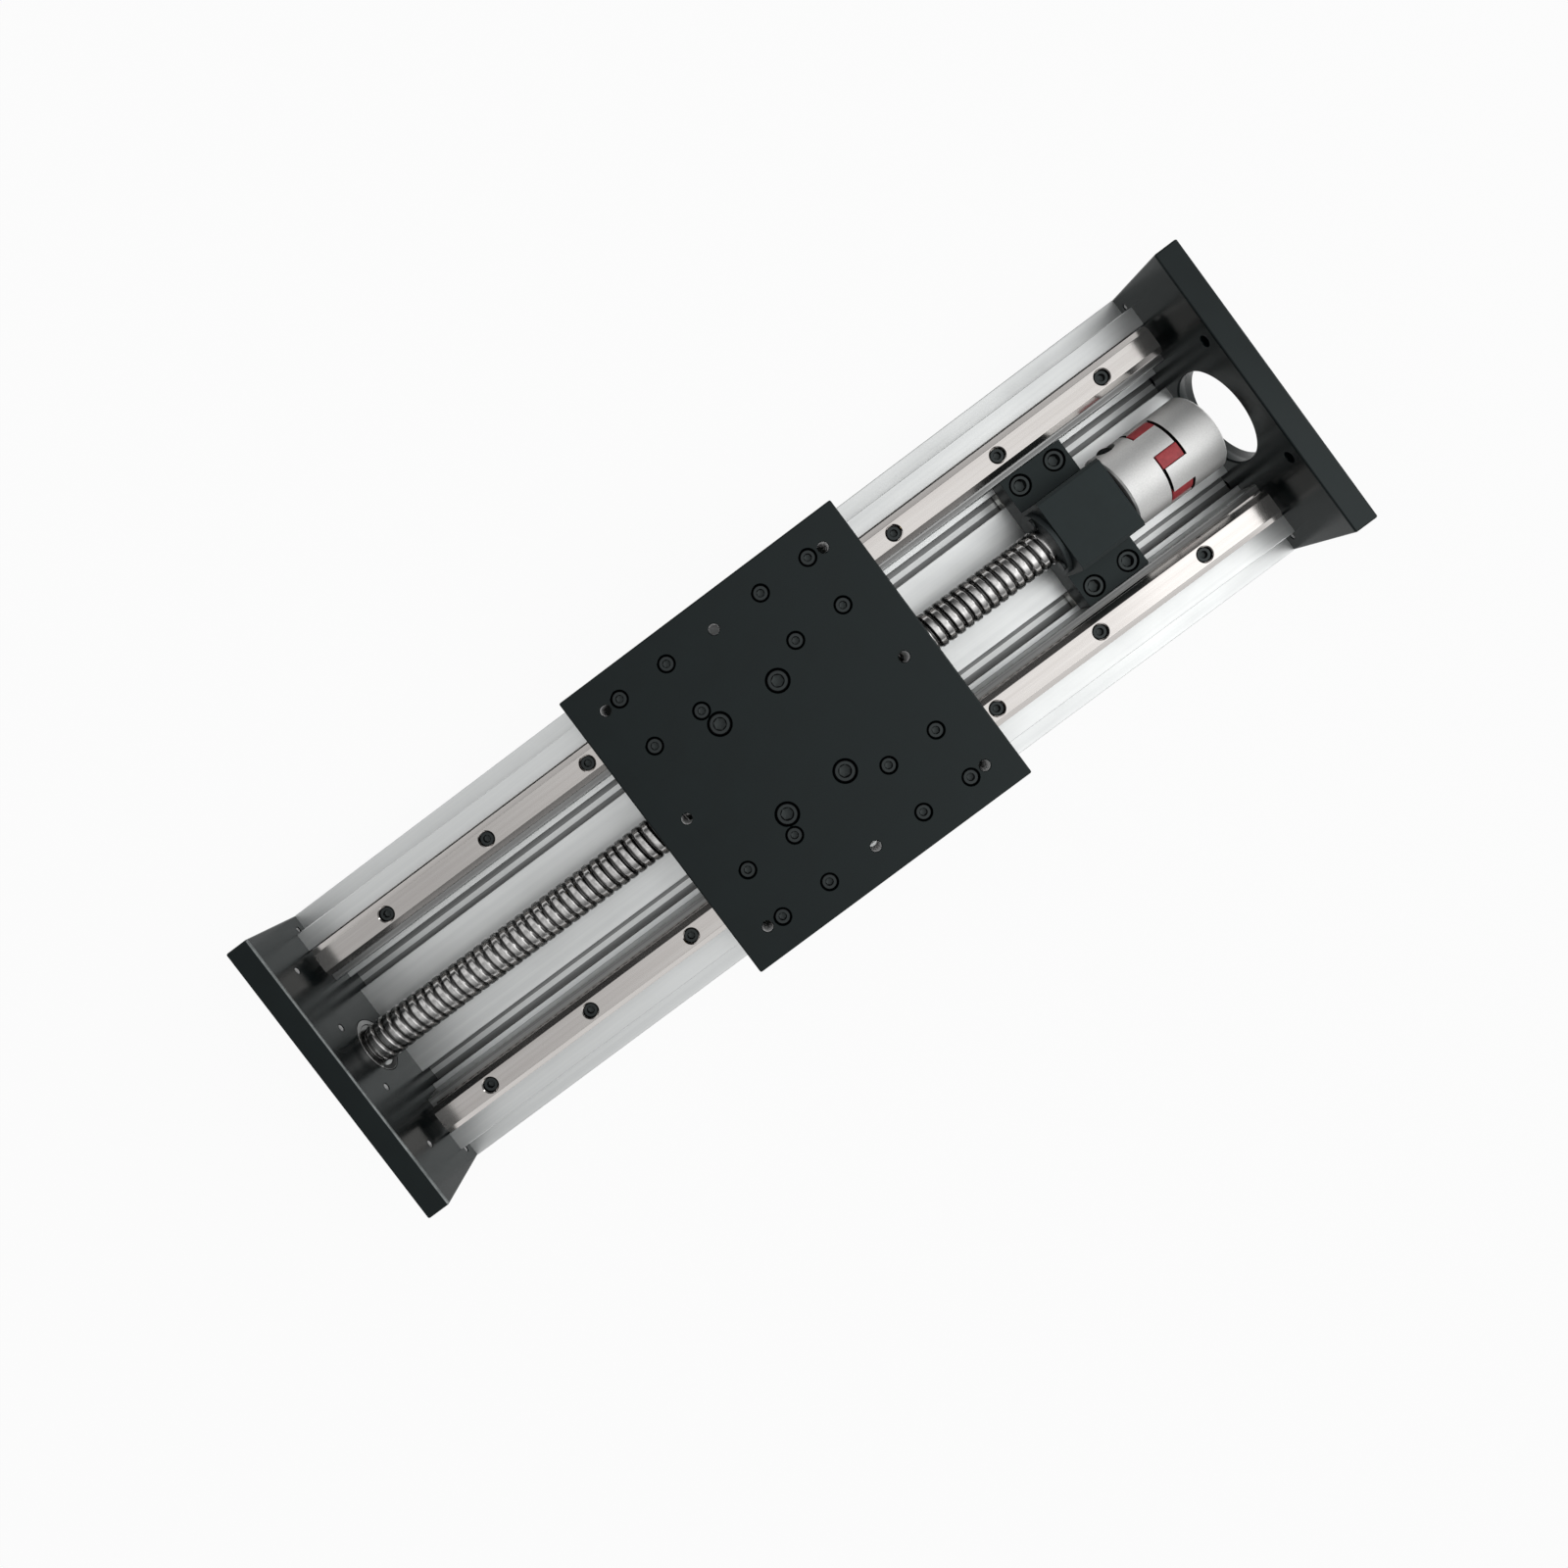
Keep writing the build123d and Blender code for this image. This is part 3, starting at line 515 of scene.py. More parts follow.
def base_outline():
    floor_slots = slot_points(SLOT_Y, FLOOR, 1)
    right = floor_slots + [
        (CHANNEL_HALF, FLOOR), (CHANNEL_HALF, SEAT), (RAIL_Y, SEAT), (POCKET_OUTER, SEAT),
        (POCKET_OUTER, base_high.z), (SHOULDER_OUTER, base_high.z), (SHOULDER_OUTER, LEDGE_Z),
        (base_high.y, LEDGE_Z), (base_high.y, 0)]
    right += [(y, z) for y, z in reversed(slot_points(UNDER_SLOT_Y, 0, -1))]
    left = [(-y, z) for y, z in reversed(right)]
    return right + left


base = pulled("base_profile", rounded(base_outline(), 0.5), base_low.x, base_high.x, drawn_aluminium)
print("base outline corners", len(base_outline()))

# %% [markdown]
# Two parts of the base are painted darker than the rest, as painted shade. Little light
# reaches the slots' inside, so most of it is darkened, though not a bright strip along each
# floor slot's bottom. The seat between the channel and each rail, milled after drawing, is
# darkened as shade beside the rail. Both are faces of the same bar, so they get their
# painted shade by where their middle lies, without a cut.
# %% Slots and seats
SLOT_REACH = 7.2
SLOT_DEPTH = 9.2
LIP_EDGE = 0.7
BRIGHT_STRIP = 1.5
base.data.materials.append(slot_skin)
base.data.materials.append(seat_painted_shade)
for face in base.data.polygons:
    y = abs(face.center.y / MM)
    z = face.center.z / MM
    off_slot = abs(y - SLOT_Y)
    in_floor_slot = off_slot < SLOT_REACH and FLOOR - SLOT_DEPTH < z < FLOOR - LIP_EDGE
    in_under_slot = abs(y - UNDER_SLOT_Y) < SLOT_REACH and LIP_EDGE < z < SLOT_DEPTH
    # Painted shade in the slots, leaving a bright strip along each floor slot's bottom.
    if (in_floor_slot and off_slot > BRIGHT_STRIP) or in_under_slot:
        face.material_index = 1
    # Painted shade on the seat between the channel and each rail.
    if abs(z - SEAT) < 0.1 and CHANNEL_HALF < y < RAIL_Y:
        face.material_index = 2
soften(base, 0)
attach(base, "base", "base_extrusion")
print("base faces", len(base.data.polygons))

# %% [markdown]
# Each rail is a ground steel bar with a waist for the balls and counterbored holes. The
# photograph shows a bright ring round every screw, which is the small chamfer at the
# counterbore's mouth, so the cutting shape is turned with that chamfer on it.
# %% Rails
RAIL_PITCH = 60
RAIL_LONG_END = 40
RAIL_HOLES = 8
BORE_DEPTH = 5.3
rail_half = [(7.5, 0), (7.5, 5.2), (5.7, 7), (5.7, 9.8), (7.5, 11.6), (7.5, 12.8), (4.8, 15)]


def rail_hole_x(side):
    first = rail_low.x + RAIL_LONG_END
    return [side * (first + RAIL_PITCH * n) for n in range(RAIL_HOLES)]


def counterbore(top, mouth, bore, depth, hole, bottom, lead):
    """The turned shape that cuts a counterbored hole, from its bottom to above its mouth."""
    return [
        (0, bottom), (hole, bottom), (hole, top - depth), (bore, top - depth),
        (bore, top - lead), (mouth, top), (mouth, top + 1), (0, top + 1)]


def rail_piece(side, node):
    """One rail. The two start their hole rows from opposite ends, as the photograph shows."""
    outline = [(side * RAIL_Y + y, SEAT + z) for y, z in rail_half]
    outline += [(side * RAIL_Y - y, SEAT + z) for y, z in reversed(rail_half)]
    name = node + "_ground"
    rail = pulled(name, rounded(outline, 0.35), rail_low.x, rail_high.x, ground_rail)
    holes = bmesh.new()
    for x in rail_hole_x(side):
        profile = counterbore(
            RAIL_TOP, mouth=4.2, bore=3.75, depth=BORE_DEPTH, hole=2.3, bottom=SEAT - 1, lead=0.45)
        spin_into(holes, profile, (x, side * RAIL_Y, 0), UPRIGHT)
    cut_holes(rail, holes)
    soften(rail, 0)
    return attach(rail, "base", node)


rail_piece(1, "left_guide_rail")
rail_piece(-1, "right_guide_rail")
print("rail holes", RAIL_HOLES)

# %% [markdown]
# Socket head screws fill the module. One function makes them all: a head with a chamfered
# rim, a six-sided socket with a countersunk mouth, and a plain shank. The socket is made by
# moving points of a round ring onto a hexagon, so the faces between them stay even.
# %% Cap screws
SOCKET = {3: 2.5, 4: 3.0, 5: 4.0, 6: 5.0}


def hexagon_radius(angle, flats):
    """How far a hexagon's edge lies from its middle at an angle."""
    folded = (angle + math.pi / 6) % (math.pi / 3) - math.pi / 6
    return flats / 2 / math.cos(folded)


def cap_screw_into(builder, size, length, origin, turn, steps=48):
    """A screw in proportion to its thread's size. Its head sits at height 0."""
    head = (1.5 * size + 1) / 2
    rim = 0.1 * size
    flats = SOCKET[size]
    depth = 0.55 * size
    shank = size / 2 - 0.1
    rows = [
        (lambda a: shank, -length), (lambda a: shank, 0), (lambda a: head, 0),
        (lambda a: head, size - rim), (lambda a: head - rim, size),
        (lambda a: flats * 0.62, size),
        (lambda a: hexagon_radius(a, flats), size - 0.12 * size),
        (lambda a: hexagon_radius(a, flats), size - depth)]
    built = []
    for radius_at, height in rows:
        row = []
        for step in range(steps):
            angle = 2 * math.pi * step / steps
            radius = radius_at(angle)
            local = Vector((radius * math.cos(angle), radius * math.sin(angle), height))
            row.append(builder.verts.new((turn @ local + Vector(origin)) * MM))
        built.append(row)
    end = builder.verts.new((turn @ Vector((0, 0, -length)) + Vector(origin)) * MM)
    socket_floor = turn @ Vector((0, 0, size - depth - 0.1 * size)) + Vector(origin)
    floor_point = builder.verts.new(socket_floor * MM)
    for low, high in zip(built, built[1:]):
        join_rows(builder, low, high)
    join_rows(builder, [end], built[0])
    join_rows(builder, built[-1], [floor_point])


def screw_set(node, size, places, length, turn=UPRIGHT, twist=23):
    """All screws of one node. Each one stopped at its own angle when it was tightened."""
    builder = bmesh.new()
    for index, origin in enumerate(places):
        own = turn @ Matrix.Rotation(math.radians(twist * index), 3, "Z")
        cap_screw_into(builder, size, length, origin, own)
    piece = object_from(builder, node + "_turned", black_oxide)
    soften(piece, 0, 25)
    return attach(piece, bodies[node], node)


RAIL_SCREW_LENGTH = 16
for side, node in ((1, "left_rail_screws"), (-1, "right_rail_screws")):
    places = [(x, side * RAIL_Y, RAIL_TOP - BORE_DEPTH) for x in rail_hole_x(side)]
    screw_set(node, 4, places, RAIL_SCREW_LENGTH)
print("rail screws", 2 * RAIL_HOLES)

# %% [markdown]
# The carriage plate is milled from bar and black anodised. Sixteen small counterbores hold
# the guide block screws, four larger ones hold the nut bracket, and eight tapped holes take
# the load. Their places could be listed one by one, but they come from a few pitches, and
# the pitches show why each hole is where it is.
# %% Carriage plate's pattern
BLOCK_X = 39
BLOCK_PITCH = 26
BRACKET_X = -7
BRACKET_PITCH = (32, 50)
SINK = 0.6
PLATE_TOP = plate_high.z
load_pitch = mounts["carriage_corner_holes"]["dims"]["spacing_x_mm"]
load_radius = mounts["carriage_corner_holes"]["dims"]["hole_r_mm"]
block_centres = [(i * BLOCK_X, j * RAIL_Y) for i in (1, -1) for j in (1, -1)]
block_screw_xy = [
    (x + i * BLOCK_PITCH / 2, y + j * BLOCK_PITCH / 2)
    for x, y in block_centres for i in (1, -1) for j in (1, -1)]
bracket_screw_xy = [
    (BRACKET_X + i * BRACKET_PITCH[0] / 2, j * BRACKET_PITCH[1] / 2) for i in (1, -1) for j in (1, -1)]
load_xy = [
    (i * load_pitch / 2, j * load_pitch / 2) for i in (1, 0, -1) for j in (1, 0, -1) if i or j]
print("block screws", len(block_screw_xy), "bracket screws", len(bracket_screw_xy))

# %% [markdown]
# The plate's edges are softened before the holes are cut, because a bevel afterwards would
# run round every hole as well. The tapped holes' walls stay bright: the anodising is
# machined away there when the thread is cut, and from above they glint.
# %% Carriage plate
BLOCK_SCREW_LENGTH = 18.4
BRACKET_SCREW_LENGTH = 19.9


def plate_box(name, low, high, material):
    """A plain block between two corners of the frame."""
    outline = [(low.y, low.z), (high.y, low.z), (high.y, high.z), (low.y, high.z)]
    return pulled(name, outline, low.x, high.x, material)


carriage = plate_box("carriage_plate_milled", plate_low, plate_high, black_anodised)
soften(carriage, 0.8)
holes = bmesh.new()
below = plate_low.z - 1
for x, y in block_screw_xy:
    profile = counterbore(
        PLATE_TOP, mouth=4.3, bore=4.0, depth=4 + SINK, hole=2.3, bottom=below, lead=0.3)
    spin_into(holes, profile, (x, y, 0), UPRIGHT)
for x, y in bracket_screw_xy:
    profile = counterbore(
        PLATE_TOP, mouth=5.8, bore=5.5, depth=6 + SINK, hole=3.3, bottom=below, lead=0.3)
    spin_into(holes, profile, (x, y, 0), UPRIGHT)
for x, y in load_xy:
    profile = counterbore(
        PLATE_TOP, mouth=2.9, bore=load_radius, depth=1, hole=load_radius, bottom=below, lead=0.4)
    spin_into(holes, profile, (x, y, 0), UPRIGHT)
cut_holes(carriage, holes)
carriage.data.materials.append(bare_thread)
for face in carriage.data.polygons:
    for x, y in load_xy:
        across = math.hypot(face.center.x / MM - x, face.center.y / MM - y)
        if across < load_radius + 0.1 and abs(face.normal.z) < 0.1:
            face.material_index = 1
soften(carriage, 0)
attach(carriage, "carriage", "carriage_plate")
places = [(x, y, PLATE_TOP - 4 - SINK) for x, y in block_screw_xy]
screw_set("guide_block_screws", 4, places, BLOCK_SCREW_LENGTH)
places = [(x, y, PLATE_TOP - 6 - SINK) for x, y in bracket_screw_xy]
screw_set("nut_bracket_screws", 6, places, BRACKET_SCREW_LENGTH)
print("plate holes", len(block_screw_xy) + len(bracket_screw_xy) + len(load_xy))

# %% [markdown]
# The end plates stand at both ends. They are milled like the carriage plate. Each has four
# sunk screws on its outer face, small tapped holes for covers on its inner face, and either
# the motor's hole and recess or the seat of the tail bearing. Every hole goes in from the
# inner face, so one profile helper with a list of steps serves them all.
# %% End plate holes
END_SCREWS = [(61.5, 33), (66.5, 13)]
END_SCREW_LENGTH = 19.4
MOTOR_HOLE = 25
TAIL_SEAT = (14, 8)
TAIL_BACK = 11
SMALL_HOLE_DEPTH = 8
pilot = mounts["motor_pilot_recess"]["dims"]
motor_bolts = mounts["motor_screw_holes"]["dims"]


def hole_profile(lead, *steps):
    """A chamfered hole. Each step is a radius and how far from the face it reaches."""
    radius = steps[0][0]
    profile = [(0, -1), (radius + lead, -1), (radius + lead, 0)]
    reached = lead
    for radius, depth in steps:
        profile += [(radius, reached), (radius, depth)]
        reached = depth
    return profile + [(0, reached)]


def small_holes(end):
    """Half spacing, height and radius of the small tapped holes, from the mounts."""
    rows = []
    for name, mount in mounts.items():
        if name.startswith(end + "_plate_"):
            dims = mount["dims"]
            rows.append((dims["spacing_x_mm"] / 2, mount["pos_m"][2] / MM, dims["hole_r_mm"]))
    return rows


print("small hole rows", len(small_holes("motor")), len(small_holes("tail")))

# %% [markdown]
# One function makes both plates, with a sign for the end each one stands at. Two finishes
# go on by place: a grey painted highlight on the tail plate's upper inner edge, and bare
# metal in the small holes.
# %% End plates
EDGE_TILT = 0.3


def end_plate(end, hand, low, high, node):
    inner = low.x if hand > 0 else high.x
    outer = high.x if hand > 0 else low.x
    turn = ALONG_X if hand > 0 else AGAINST_X
    plate = plate_box(node + "_milled", low, high, black_anodised)
    soften(plate, 0.9)
    plate.data.materials.append(edge_painted_highlight)
    plate.data.materials.append(bare_thread)
    # Painted highlight: the tail plate's upper inner chamfer takes a grey finish.
    for face in plate.data.polygons:
        if hand < 0 and face.normal.x > EDGE_TILT and face.normal.z > EDGE_TILT:
            face.material_index = 1
    holes = bmesh.new()
    thick = abs(outer - inner)
    past = thick + 1
    for y, z in END_SCREWS:
        for side in (1, -1):
            profile = counterbore(
                thick, mouth=5.8, bore=5.5, depth=6 + SINK, hole=3.3, bottom=-1, lead=0.3)
            spin_into(holes, profile, (inner, side * y, z), turn)
    for half, z, radius in small_holes(end):
        for side in (1, -1):
            profile = hole_profile(0.4, (radius, SMALL_HOLE_DEPTH))
            spin_into(holes, profile, (inner, side * half, z), turn, 32)
    if hand > 0:
        recess = thick - pilot["length_mm"]
        profile = hole_profile(0.8, (MOTOR_HOLE, recess), (pilot["r_mm"], past))
        spin_into(holes, profile, (inner, 0, AXIS), turn, 96)
        for n in range(4):
            angle = math.radians(45 + 90 * n)
            y = motor_bolts["pcd_mm"] / 2 * math.cos(angle)
            z = AXIS + motor_bolts["pcd_mm"] / 2 * math.sin(angle)
            profile = hole_profile(0.5, (motor_bolts["hole_r_mm"], past))
            spin_into(holes, profile, (inner, y, z), turn, 32)
    else:
        profile = hole_profile(0.5, TAIL_SEAT, (TAIL_BACK, past))
        spin_into(holes, profile, (inner, 0, AXIS), turn, 96)
    cut_holes(plate, holes)
    for face in plate.data.polygons:
        for half, z, radius in small_holes(end):
            across = math.hypot(abs(face.center.y) / MM - half, face.center.z / MM - z)
            if across < radius + 0.1 and abs(face.normal.x) < 0.9:
                face.material_index = 2
    soften(plate, 0)
    attach(plate, "base", node)
    seat_x = outer - hand * (6 + SINK)
    places = [(seat_x, side * y, z) for y, z in END_SCREWS for side in (1, -1)]
    screw_set(end + "_plate_screws", 6, places, END_SCREW_LENGTH, turn)


end_plate("motor", 1, motor_low, motor_high, "motor_end_plate")
end_plate("tail", -1, tail_low, tail_high, "tail_end_plate")
print("end plates", 2)

# %% [markdown]
# The ball screw is what the eye finds first between the black parts. Its thread is a
# smooth round groove that the balls roll in, with a land left between the turns. A plain
# cylinder with stripes would not shine like it, so the surface is a fine grid whose radius
# drops where the groove passes. The groove turns once round in each lead.
# %% Thread groove
LEAD = 5
SCREW_RADIUS = 10
GROOVE_HALF = 1.4
GROOVE_DEEP = 0.85
ROWS_PER_TURN = 20
AROUND = 56


def groove_depth(phase):
    """Depth below the land, for a phase from -0.5 to 0.5 of one lead."""
    offset = abs(phase) * LEAD
    if offset >= GROOVE_HALF:
        return 0.0
    return GROOVE_DEEP * (1 + math.cos(math.pi * offset / GROOVE_HALF)) / 2


print("groove depth", groove_depth(0), "lead", LEAD)

# %% [markdown]
# Grease and fine dirt stay in the groove while the nut wipes the lands clean, and less
# light falls into the groove. The distance from the screw's axis tells the two apart, so the
# steel is darkened below the lands by that distance, for the grease and as painted shade. It
# works at every turn of the screw, which a painted stripe would not.
# %% Grease and painted shade in the groove
GREASE_SHADE_FROM = 9.3
GREASE_SHADE_TO = 9.93
GREASE_SHADE_DARK = 0.16


def groove_grease_and_shade(material):
    """Darken the steel below the lands, for the grease that stays there and as painted shade in the
    groove.
    """
    nodes = material.node_tree.nodes
    links = material.node_tree.links
    shader = nodes["Principled BSDF"]
    tinted = shader.inputs["Base Color"].links[0].from_socket
    place = nodes.new("ShaderNodeTexCoord")
    centred = nodes.new("ShaderNodeVectorMath")
    centred.operation = "SUBTRACT"
    centred.inputs[1].default_value = (0, 0, AXIS * MM)
    flat = nodes.new("ShaderNodeVectorMath")
    flat.operation = "MULTIPLY"
    flat.inputs[1].default_value = (0, 1, 1)
    reach = nodes.new("ShaderNodeVectorMath")
    reach.operation = "LENGTH"
    grease_shade = nodes.new("ShaderNodeMapRange")
    grease_shade.inputs["From Min"].default_value = GREASE_SHADE_FROM * MM
    grease_shade.inputs["From Max"].default_value = GREASE_SHADE_TO * MM
    grease_shade.inputs["To Min"].default_value = GREASE_SHADE_DARK
    grease_shade.inputs["To Max"].default_value = 1.0
    shade = nodes.new("ShaderNodeVectorMath")
    shade.operation = "SCALE"
    links.new(place.outputs["Object"], centred.inputs[0])
    links.new(centred.outputs["Vector"], flat.inputs[0])
    links.new(flat.outputs["Vector"], reach.inputs[0])
    links.new(reach.outputs["Value"], grease_shade.inputs["Value"])
    links.new(tinted, shade.inputs[0])
    links.new(grease_shade.outputs["Result"], shade.inputs["Scale"])
    links.new(shade.outputs["Vector"], shader.inputs["Base Color"])


# The groove is darkened for the grease in it and as painted shade.
groove_grease_and_shade(screw_steel)
print("film from", GREASE_SHADE_FROM, "to", GREASE_SHADE_TO, "mm")

# %% [markdown]
# The screw is one mesh: the threaded part as a grid, and at both ends the turned journals
# that carry the bearings, the snap ring and the coupling. The groove fades out over the
# first and last millimetre and a half, as a ground thread runs out.
# %% Ball screw
THREAD_RUNOUT = 1.5
thread_start = tail_high.x + 2
thread_end = cover_low.x


def thread_into(builder):
    """A grid of rings along the screw. Each point's radius follows the groove."""
    rows = []
    count = int((thread_end - thread_start) / LEAD * ROWS_PER_TURN)
    for row_number in range(count + 1):
        x = thread_start + (thread_end - thread_start) * row_number / count
        fade = min(1.0, (x - thread_start) / THREAD_RUNOUT, (thread_end - x) / THREAD_RUNOUT)
        row = []
        for step in range(AROUND):
            angle = 2 * math.pi * step / AROUND
            phase = (x / LEAD - angle / (2 * math.pi) + 0.5) % 1.0 - 0.5
            radius = SCREW_RADIUS - groove_depth(phase) * max(fade, 0.0)
            y = radius * math.cos(angle)
            z = AXIS + radius * math.sin(angle)
            row.append(builder.verts.new(Vector((x, y, z)) * MM))
        rows.append(row)
    for low, high in zip(rows, rows[1:]):
        join_rows(builder, low, high)
    for row, x in ((rows[0], thread_start), (rows[-1], thread_end)):
        centre = builder.verts.new(Vector((x, 0, AXIS)) * MM)
        join_rows(builder, row, [centre])


builder = bmesh.new()
thread_into(builder)
tail_journal = [
    (0, 0), (5.4, 0), (6, 0.6), (6, 1), (5.7, 1), (5.7, 2.1), (6, 2.1), (6, 10.1), (8, 10.1), (8, 12.1),
    (0, 12.1)]
spin_into(builder, tail_journal, (screw_low.x, 0, AXIS), ALONG_X)
lock_end = box_mm("lock_nut")[1].x
lock_length = lock_end - thread_end
nose_length = screw_high.x - thread_end
nose = [
    (0, 0), (6, 0), (6, lock_length - 0.4), (5.6, lock_length), (5, lock_length),
    (5, nose_length - 0.6), (4.4, nose_length), (0, nose_length)]
spin_into(builder, nose, (thread_end, 0, AXIS), ALONG_X)
ball_screw = object_from(builder, "ball_screw_thread", screw_steel)
soften(ball_screw, 0, 50)
attach(ball_screw, "screw", "ball_screw")
print("thread turns", round((thread_end - thread_start) / LEAD, 1))

# %% [markdown]
# The guide blocks ride on the rails under the plate. Each is a hardened steel body between
# two plastic end caps, with a thin seal at each end. They are the same outline at three
# sizes, with the rail's section cut out of it, so one function makes all three. Drawing the
# channel into the outline gives its play to the rail directly, with no boolean cut.
# %% Guide blocks
BLOCK_HALF = 17
BLOCK_TOP = 28
GROUND_GAP = 4.3
BODY_HALF_LENGTH = 19.7
CAP_LENGTH = 9
SEAL_LENGTH = 2


def block_outline(centre_y, inset, play):
    """Outside and rail channel of a block as one outline, round from the left foot."""
    half = BLOCK_HALF - inset
    skirt = half - 1.5
    bottom = GROUND_GAP + inset / 2
    knee = bottom + 8
    outside = [(skirt, bottom), (skirt, knee), (half, knee + 1.5), (half, BLOCK_TOP - inset)]
    slope = play * 0.4
    channel = [
        (7.5 + play, bottom), (7.5 + play, 5.2 + slope), (5.7 + play, 7 + slope),
        (5.7 + play, 9.8 - slope), (7.5 + play, 11.6 - slope), (7.5 + play, 12.8 + slope),
        (4.8 + play, 15 + play)]
    right = list(reversed(channel)) + outside
    left = [(-y, z) for y, z in reversed(right)]
    return [(centre_y + y, SEAT + z) for y, z in right + left]


block_nodes = [
    "guide_block_motor_left", "guide_block_motor_right",
    "guide_block_tail_left", "guide_block_tail_right"]
for node, (x, y) in zip(block_nodes, block_centres):
    outline = rounded(block_outline(y, 0, 0.1), 0.4)
    body = pulled(node + "_ground", outline, x - BODY_HALF_LENGTH, x + BODY_HALF_LENGTH, block_steel)
    soften(body, 0)
    attach(body, "carriage", node)


def block_ends(name, node, start, length, inset, play, material):
    """The caps or seals of all four blocks, two on each, as one piece."""
    builder = bmesh.new()
    for x, y in block_centres:
        for hand in (1, -1):
            near = x + hand * start
            outline = rounded(block_outline(y, inset, play), 0.8)
            pull_into(builder, outline, near, near + hand * length)
    piece = object_from(builder, name, material)
    soften(piece, 0)
    return attach(piece, "carriage", node)


cap_start = BODY_HALF_LENGTH
block_ends("moulded_end_caps", "block_end_caps", cap_start, CAP_LENGTH, 0.6, 0.4, cap_nylon)
block_ends("wiper_seals", "block_end_seals", cap_start + CAP_LENGTH, SEAL_LENGTH, 1.2, 0.2, seal_rubber)
print("blocks", len(block_nodes))

# %% [markdown]
# The bearing block is a low black casting bored for the screw's bearings, with a foot on
# each side. Its feet are screwed down into nuts in the floor slots. The solid already has
# every bore and chamfer, so a copy is softened by a small bevel, and only the screws are
# made here, because the solid ones have no sockets.
# %% Bearing block
EAR_TOP = FLOOR + 15
EAR_PITCH = 20
EAR_SCREW_LENGTH = 15.4
dress("bearing_block", block_black, 0.7)
# The cover takes a black painted lighter, as painted light on its shaded face.
dress("bearing_cover", cover_painted_lighter, 0.25)
ear_x = (bearing_low.x + bearing_high.x) / 2
ear_places = [
    (ear_x + i * EAR_PITCH / 2, j * SLOT_Y, EAR_TOP - 6 - SINK) for i in (1, -1) for j in (1, -1)]
screw_set("bearing_block_screws", 6, ear_places, EAR_SCREW_LENGTH)
dress("bearing_cover_screws", black_oxide, 0.2)
dress("slot_nuts", zinc_plate, 0.2)
dress("oil_seal", seal_rubber, 0.1)
dress("block_snap_ring", black_oxide, 0.1)
print("bearing block feet screws", len(ear_places))

# %% [markdown]
# Under the plate the ball nut hangs from its bracket. Its flange is held by six screws in
# two groups of three, which leaves both sides of the flange flat. Wipers close its ends, and
# a brass nipple on each guide block takes the grease. These are copies of the solids too.
# %% Nut and bracket
NUT_RING = 23.5
NUT_SCREW_STEP = 22
NUT_SCREW_LENGTH = 20
dress("nut_bracket", black_anodised, 0.6)
dress("ball_nut", block_steel, 0.5)
nut_high = box_mm("ball_nut")[1]
nut_places = []
for base_angle in (0, 180):
    for step in (-1, 0, 1):
        angle = math.radians(base_angle + step * NUT_SCREW_STEP)
        nut_places.append((nut_high.x, NUT_RING * math.cos(angle), AXIS + NUT_RING * math.sin(angle)))
screw_set("ball_nut_screws", 5, nut_places, NUT_SCREW_LENGTH, ALONG_X)
dress("nut_wipers", seal_rubber, 0.1)
dress("grease_nipples", nipple_brass, 0.3)
print("nut screws", len(nut_places))

# %% [markdown]
# The bearings, spacers, lock nut and snap rings are turned parts with fine edges. The tail
# bearing's face is the thin bright ring in the tail plate. Between its steel rings lies a
# rubber seal, which is a band of the outer ring's face here, told by its distance from the
# axis, since a seal as a piece of its own would be closed in on all other sides. The dark
# band reaches out over most of the outer ring's face, so that only a thin bright rim is left.
# %% Bearings
DARK_RING_BAND = (8.8, 13.4)
# Each outer ring's face takes dark rubber in a band from 8.8 to 13.4 mm off the axis.
for ring_node in ("block_bearing_outer_rings", "tail_bearing_outer_ring"):
    ring_piece = dress(ring_node, turned_steel, 0.25)
    ring_piece.data.materials.append(seal_rubber)
    for face in ring_piece.data.polygons:
        reach = math.hypot(face.center.y / MM, face.center.z / MM - AXIS)
        if DARK_RING_BAND[0] < reach < DARK_RING_BAND[1]:
            face.material_index = 1
for ring_node in ("block_bearing_inner_rings", "tail_bearing_inner_ring", "screw_spacers"):
    dress(ring_node, turned_steel, 0.2)
dress("lock_nut", black_oxide, 0.3)
dress("tail_snap_ring", black_oxide, 0.1)
print("bearing pieces ready")

# %% [markdown]
# The coupling joins the screw to a motor's shaft. Two blasted aluminium hubs reach into each
# other with three jaws each, and a red spider sits between the jaws. The photograph shows a
# dark gap at each jaw's tip. So the tips and the spider's ends are drawn in by less than a
# millimetre, and the faces that look into the gap are painted near black, as painted shade.
# %% Coupling
JAW_ZONE = (206.4, 221)
JAW_MIDDLE = 213.7
JAW_TIP = 5.5
TIP_PLAY = 0.8
SPIDER_PLAY = 0.6
coupling_end = box_mm("coupling_motor_hub")[1].x + 1
hub_ends = {
    "coupling_screw_hub": (0, JAW_MIDDLE + JAW_TIP, TIP_PLAY),
    "coupling_motor_hub": (JAW_MIDDLE - JAW_TIP, coupling_end, TIP_PLAY)}
# Painted shade for the faces inside the jaw gaps.
jaw_gap = dark_finish("jaw_gap_shade", (0.004, 0.004, 0.004), (0.01, 0.01, 0.01), 0.5)
for hub_node, ends in hub_ends.items():
    hub = dress(hub_node, blasted_aluminium, 0.55, ends)
    hub.data.materials.append(jaw_gap)
    for face in hub.data.polygons:
        faces_gap = abs(face.normal.x) > 0.3
        if JAW_ZONE[0] < face.center.x / MM < JAW_ZONE[1] and faces_gap:
            face.material_index = 1
dress("coupling_spider", red_urethane, 0.4, (JAW_MIDDLE, JAW_MIDDLE, SPIDER_PLAY))
dress("coupling_clamp_screws", black_oxide, 0.25)
print("coupling pieces", 4)

